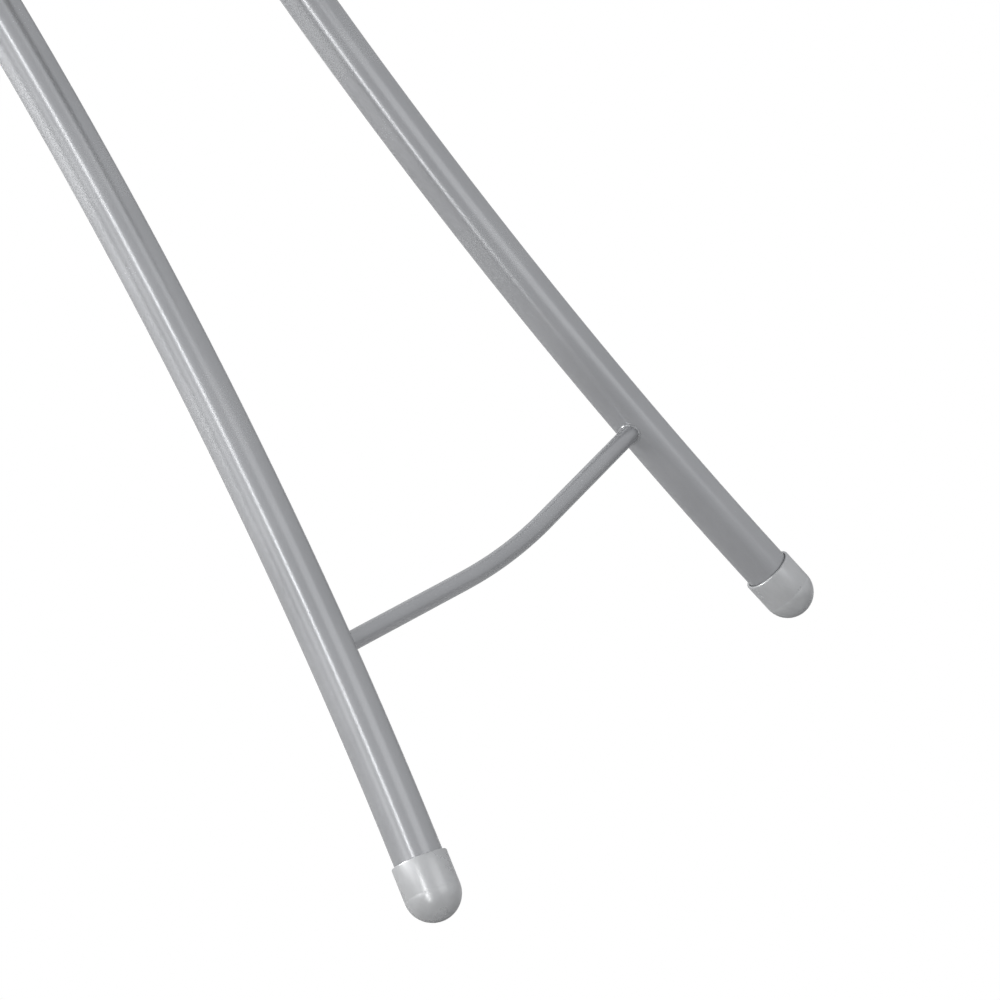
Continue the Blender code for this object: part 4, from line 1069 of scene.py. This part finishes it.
def iron_rest():
    """Wire tray with welded cross wires, ribbed heat sleeves and stop collars."""
    low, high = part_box("rest_frame")
    frame_r = (high.z - low.z) / 2
    level, wide = (low.z + high.z) / 2, high.y - frame_r
    corners = [(high.x, wide), (low.x + frame_r, wide), (low.x + frame_r, -wide), (high.x, -wide)]
    path = rounded_path([Vector((x, y, level)) for x, y in corners], 0.030, 14)
    swept("rest_frame", "wire", "rest_coating", wire_stations(path, frame_r), 28)
    welds = bmesh.new()
    for i in range(1, 6):
        middle, radius, half = box_of(f"rest_wire_{i}")
        wire = wire_stations([middle - Y * half, middle, middle + Y * half], radius)
        swept(f"rest_wire_{i}", "wire", "rest_coating", wire, 20)
        for side in (1, -1):
            spot = Vector((middle.x, side * wide, level + frame_r + 0.0002))
            for way in (1, -1):
                line = [spot + X * (way * radius) + Y * y for y in (-0.0022, 0.0, 0.0022)]
                sweep(welds, wire_stations(line, 0.0009), 10)
    piece("rest_welds", welds, "rest_coating", "iron_rest")
    for i in (1, 2):
        middle, radius, half = box_of(f"heat_sleeve_{i}")
        bore, rings = radius - 0.0012, 40
        profile = [(bore, -half), (radius - 0.0003, -half), (radius, 0.0004 - half)]
        for k in range(rings * 2 + 1):
            profile.append((radius - 0.00018 * (k % 2), (half - 0.003) * (k / rings - 1)))
        profile += [(radius, half - 0.0004), (radius - 0.0003, half), (bore, half)]
        lathe(f"heat_sleeve_{i}", "moulding", "silicone", profile, middle, Y, 24, 60.0)
    for word, _ in SIDES:
        low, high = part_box("rest_stop_" + word)
        middle, radius, _ = box_of("rest_stop_" + word)
        waist = radius - 0.0005
        groove = [(radius, -0.0012), (waist, -0.0008), (waist, 0.0008), (radius, 0.0012)]
        profile = eased_ring(frame_r + GAP, radius, low.x - middle.x, high.x - middle.x, 0.0005, groove)
        lathe("rest_stop_" + word, *TURNING, profile, middle, X, 40, 35.0)


# ---- Stage


FLOOR_SHADE = 0.50
ROOM_LIGHT = (0.64, 0.79)
LIGHT_AIM = Vector((0.12, 0.0, 0.22))
# Name, azimuth, elevation, distance, width, height, watts and lean, in degrees and metres
LIGHTS = (
    ("strip_light", -77.0, 13.5, 3.0, 0.27, 2.25, 12.0, 26.5),
    ("left_softbox", -112.0, 22.0, 3.0, 1.2, 2.0, 5.0, 0.0),
    ("right_softbox", -8.0, 35.0, 3.0, 1.8, 1.7, 5.0, 0.0),
    ("rear_softbox", -152.0, 15.0, 1.9, 1.4, 0.5, 42.0, 0.0),
)


def lit_only_for_camera(tree, seen, felt_by_others):
    """Mixes two shaders: the first is what the camera sees, the second what lights the object."""
    path = node(tree, "LightPath")
    mix = node(tree, "MixShader")
    feed(tree, mix, Fac=path.outputs["Is Camera Ray"], i1=felt_by_others, i2=seen)
    return mix.outputs[0]


def stage():
    """Plain white floor, even surroundings and soft studio lights."""
    bm = bmesh.new()
    bmesh.ops.create_grid(bm, x_segments=1, y_segments=1, size=30.0)
    mesh = bpy.data.meshes.new("studio_floor")
    bm.to_mesh(mesh)
    bm.free()
    floor = placed("studio_floor", mesh)
    material = bpy.data.materials.new("white_floor")
    material.use_nodes = True
    tree = material.node_tree
    white = feed(tree, node(tree, "Emission"), Color=(1, 1, 1, 1), Strength=1.0).outputs[0]
    pale = feed(tree, node(tree, "BsdfDiffuse"), Color=(FLOOR_SHADE,) * 3 + (1,)).outputs[0]
    tree.links.new(lit_only_for_camera(tree, white, pale), tree.nodes["Material Output"].inputs["Surface"])
    mesh.materials.append(material)
    world = bpy.data.worlds.new("studio")
    bpy.context.scene.world = world
    world.use_nodes = True
    tree = world.node_tree
    white = feed(tree, node(tree, "Background"), Color=(1, 1, 1, 1), Strength=1.0).outputs[0]
    facing = node(tree, "TexCoord").outputs["Generated"]
    height = feed(tree, node(tree, "SeparateXYZ"), Vector=facing)
    rising = ranged(tree, height.outputs["Z"], 0.0, 0.75, *ROOM_LIGHT)
    cool = (0.97, 0.98, 1.0, 1)
    grey = feed(tree, node(tree, "Background"), Color=cool, Strength=rising).outputs[0]
    output = next(n for n in tree.nodes if n.type == "OUTPUT_WORLD")
    tree.links.new(lit_only_for_camera(tree, white, grey), output.inputs["Surface"])
    for name, azimuth, elevation, distance, width, height, power, lean in LIGHTS:
        panel = bpy.data.lights.new(name, "AREA")
        panel.shape = "RECTANGLE"
        panel.size, panel.size_y, panel.energy = width, height, power
        lamp = placed(name, panel)
        a, e = radians(azimuth), radians(elevation)
        lamp.location = LIGHT_AIM + Vector((cos(e) * cos(a), cos(e) * sin(a), sin(e))) * distance
        facing = (LIGHT_AIM - lamp.location).to_track_quat("-Z", "Y")
        lamp.rotation_euler = (facing @ Quaternion(Z, radians(lean))).to_euler()


CAMERA_PLACE = Vector((1.253351, -1.91017, 1.098501))
CAMERA_TURN = radians(119.048)
CAMERA_DIP = radians(23.901)
LENS_MM = 167.9


def camera():
    data = bpy.data.cameras.new("camera")
    data.sensor_width = 36.0
    data.lens = LENS_MM
    data.clip_end = 100.0
    seer = placed("camera", data)
    ahead = Vector((cos(CAMERA_DIP) * cos(CAMERA_TURN), cos(CAMERA_DIP) * sin(CAMERA_TURN), -sin(CAMERA_DIP)))
    seer.location = CAMERA_PLACE
    seer.rotation_euler = ahead.to_track_quat("-Z", "Y").to_euler()
    bpy.context.scene.camera = seer
    bpy.context.scene.view_settings.view_transform = "Standard"


camera()
stage()
legs()
board()
clamp_lock()
iron_rest()
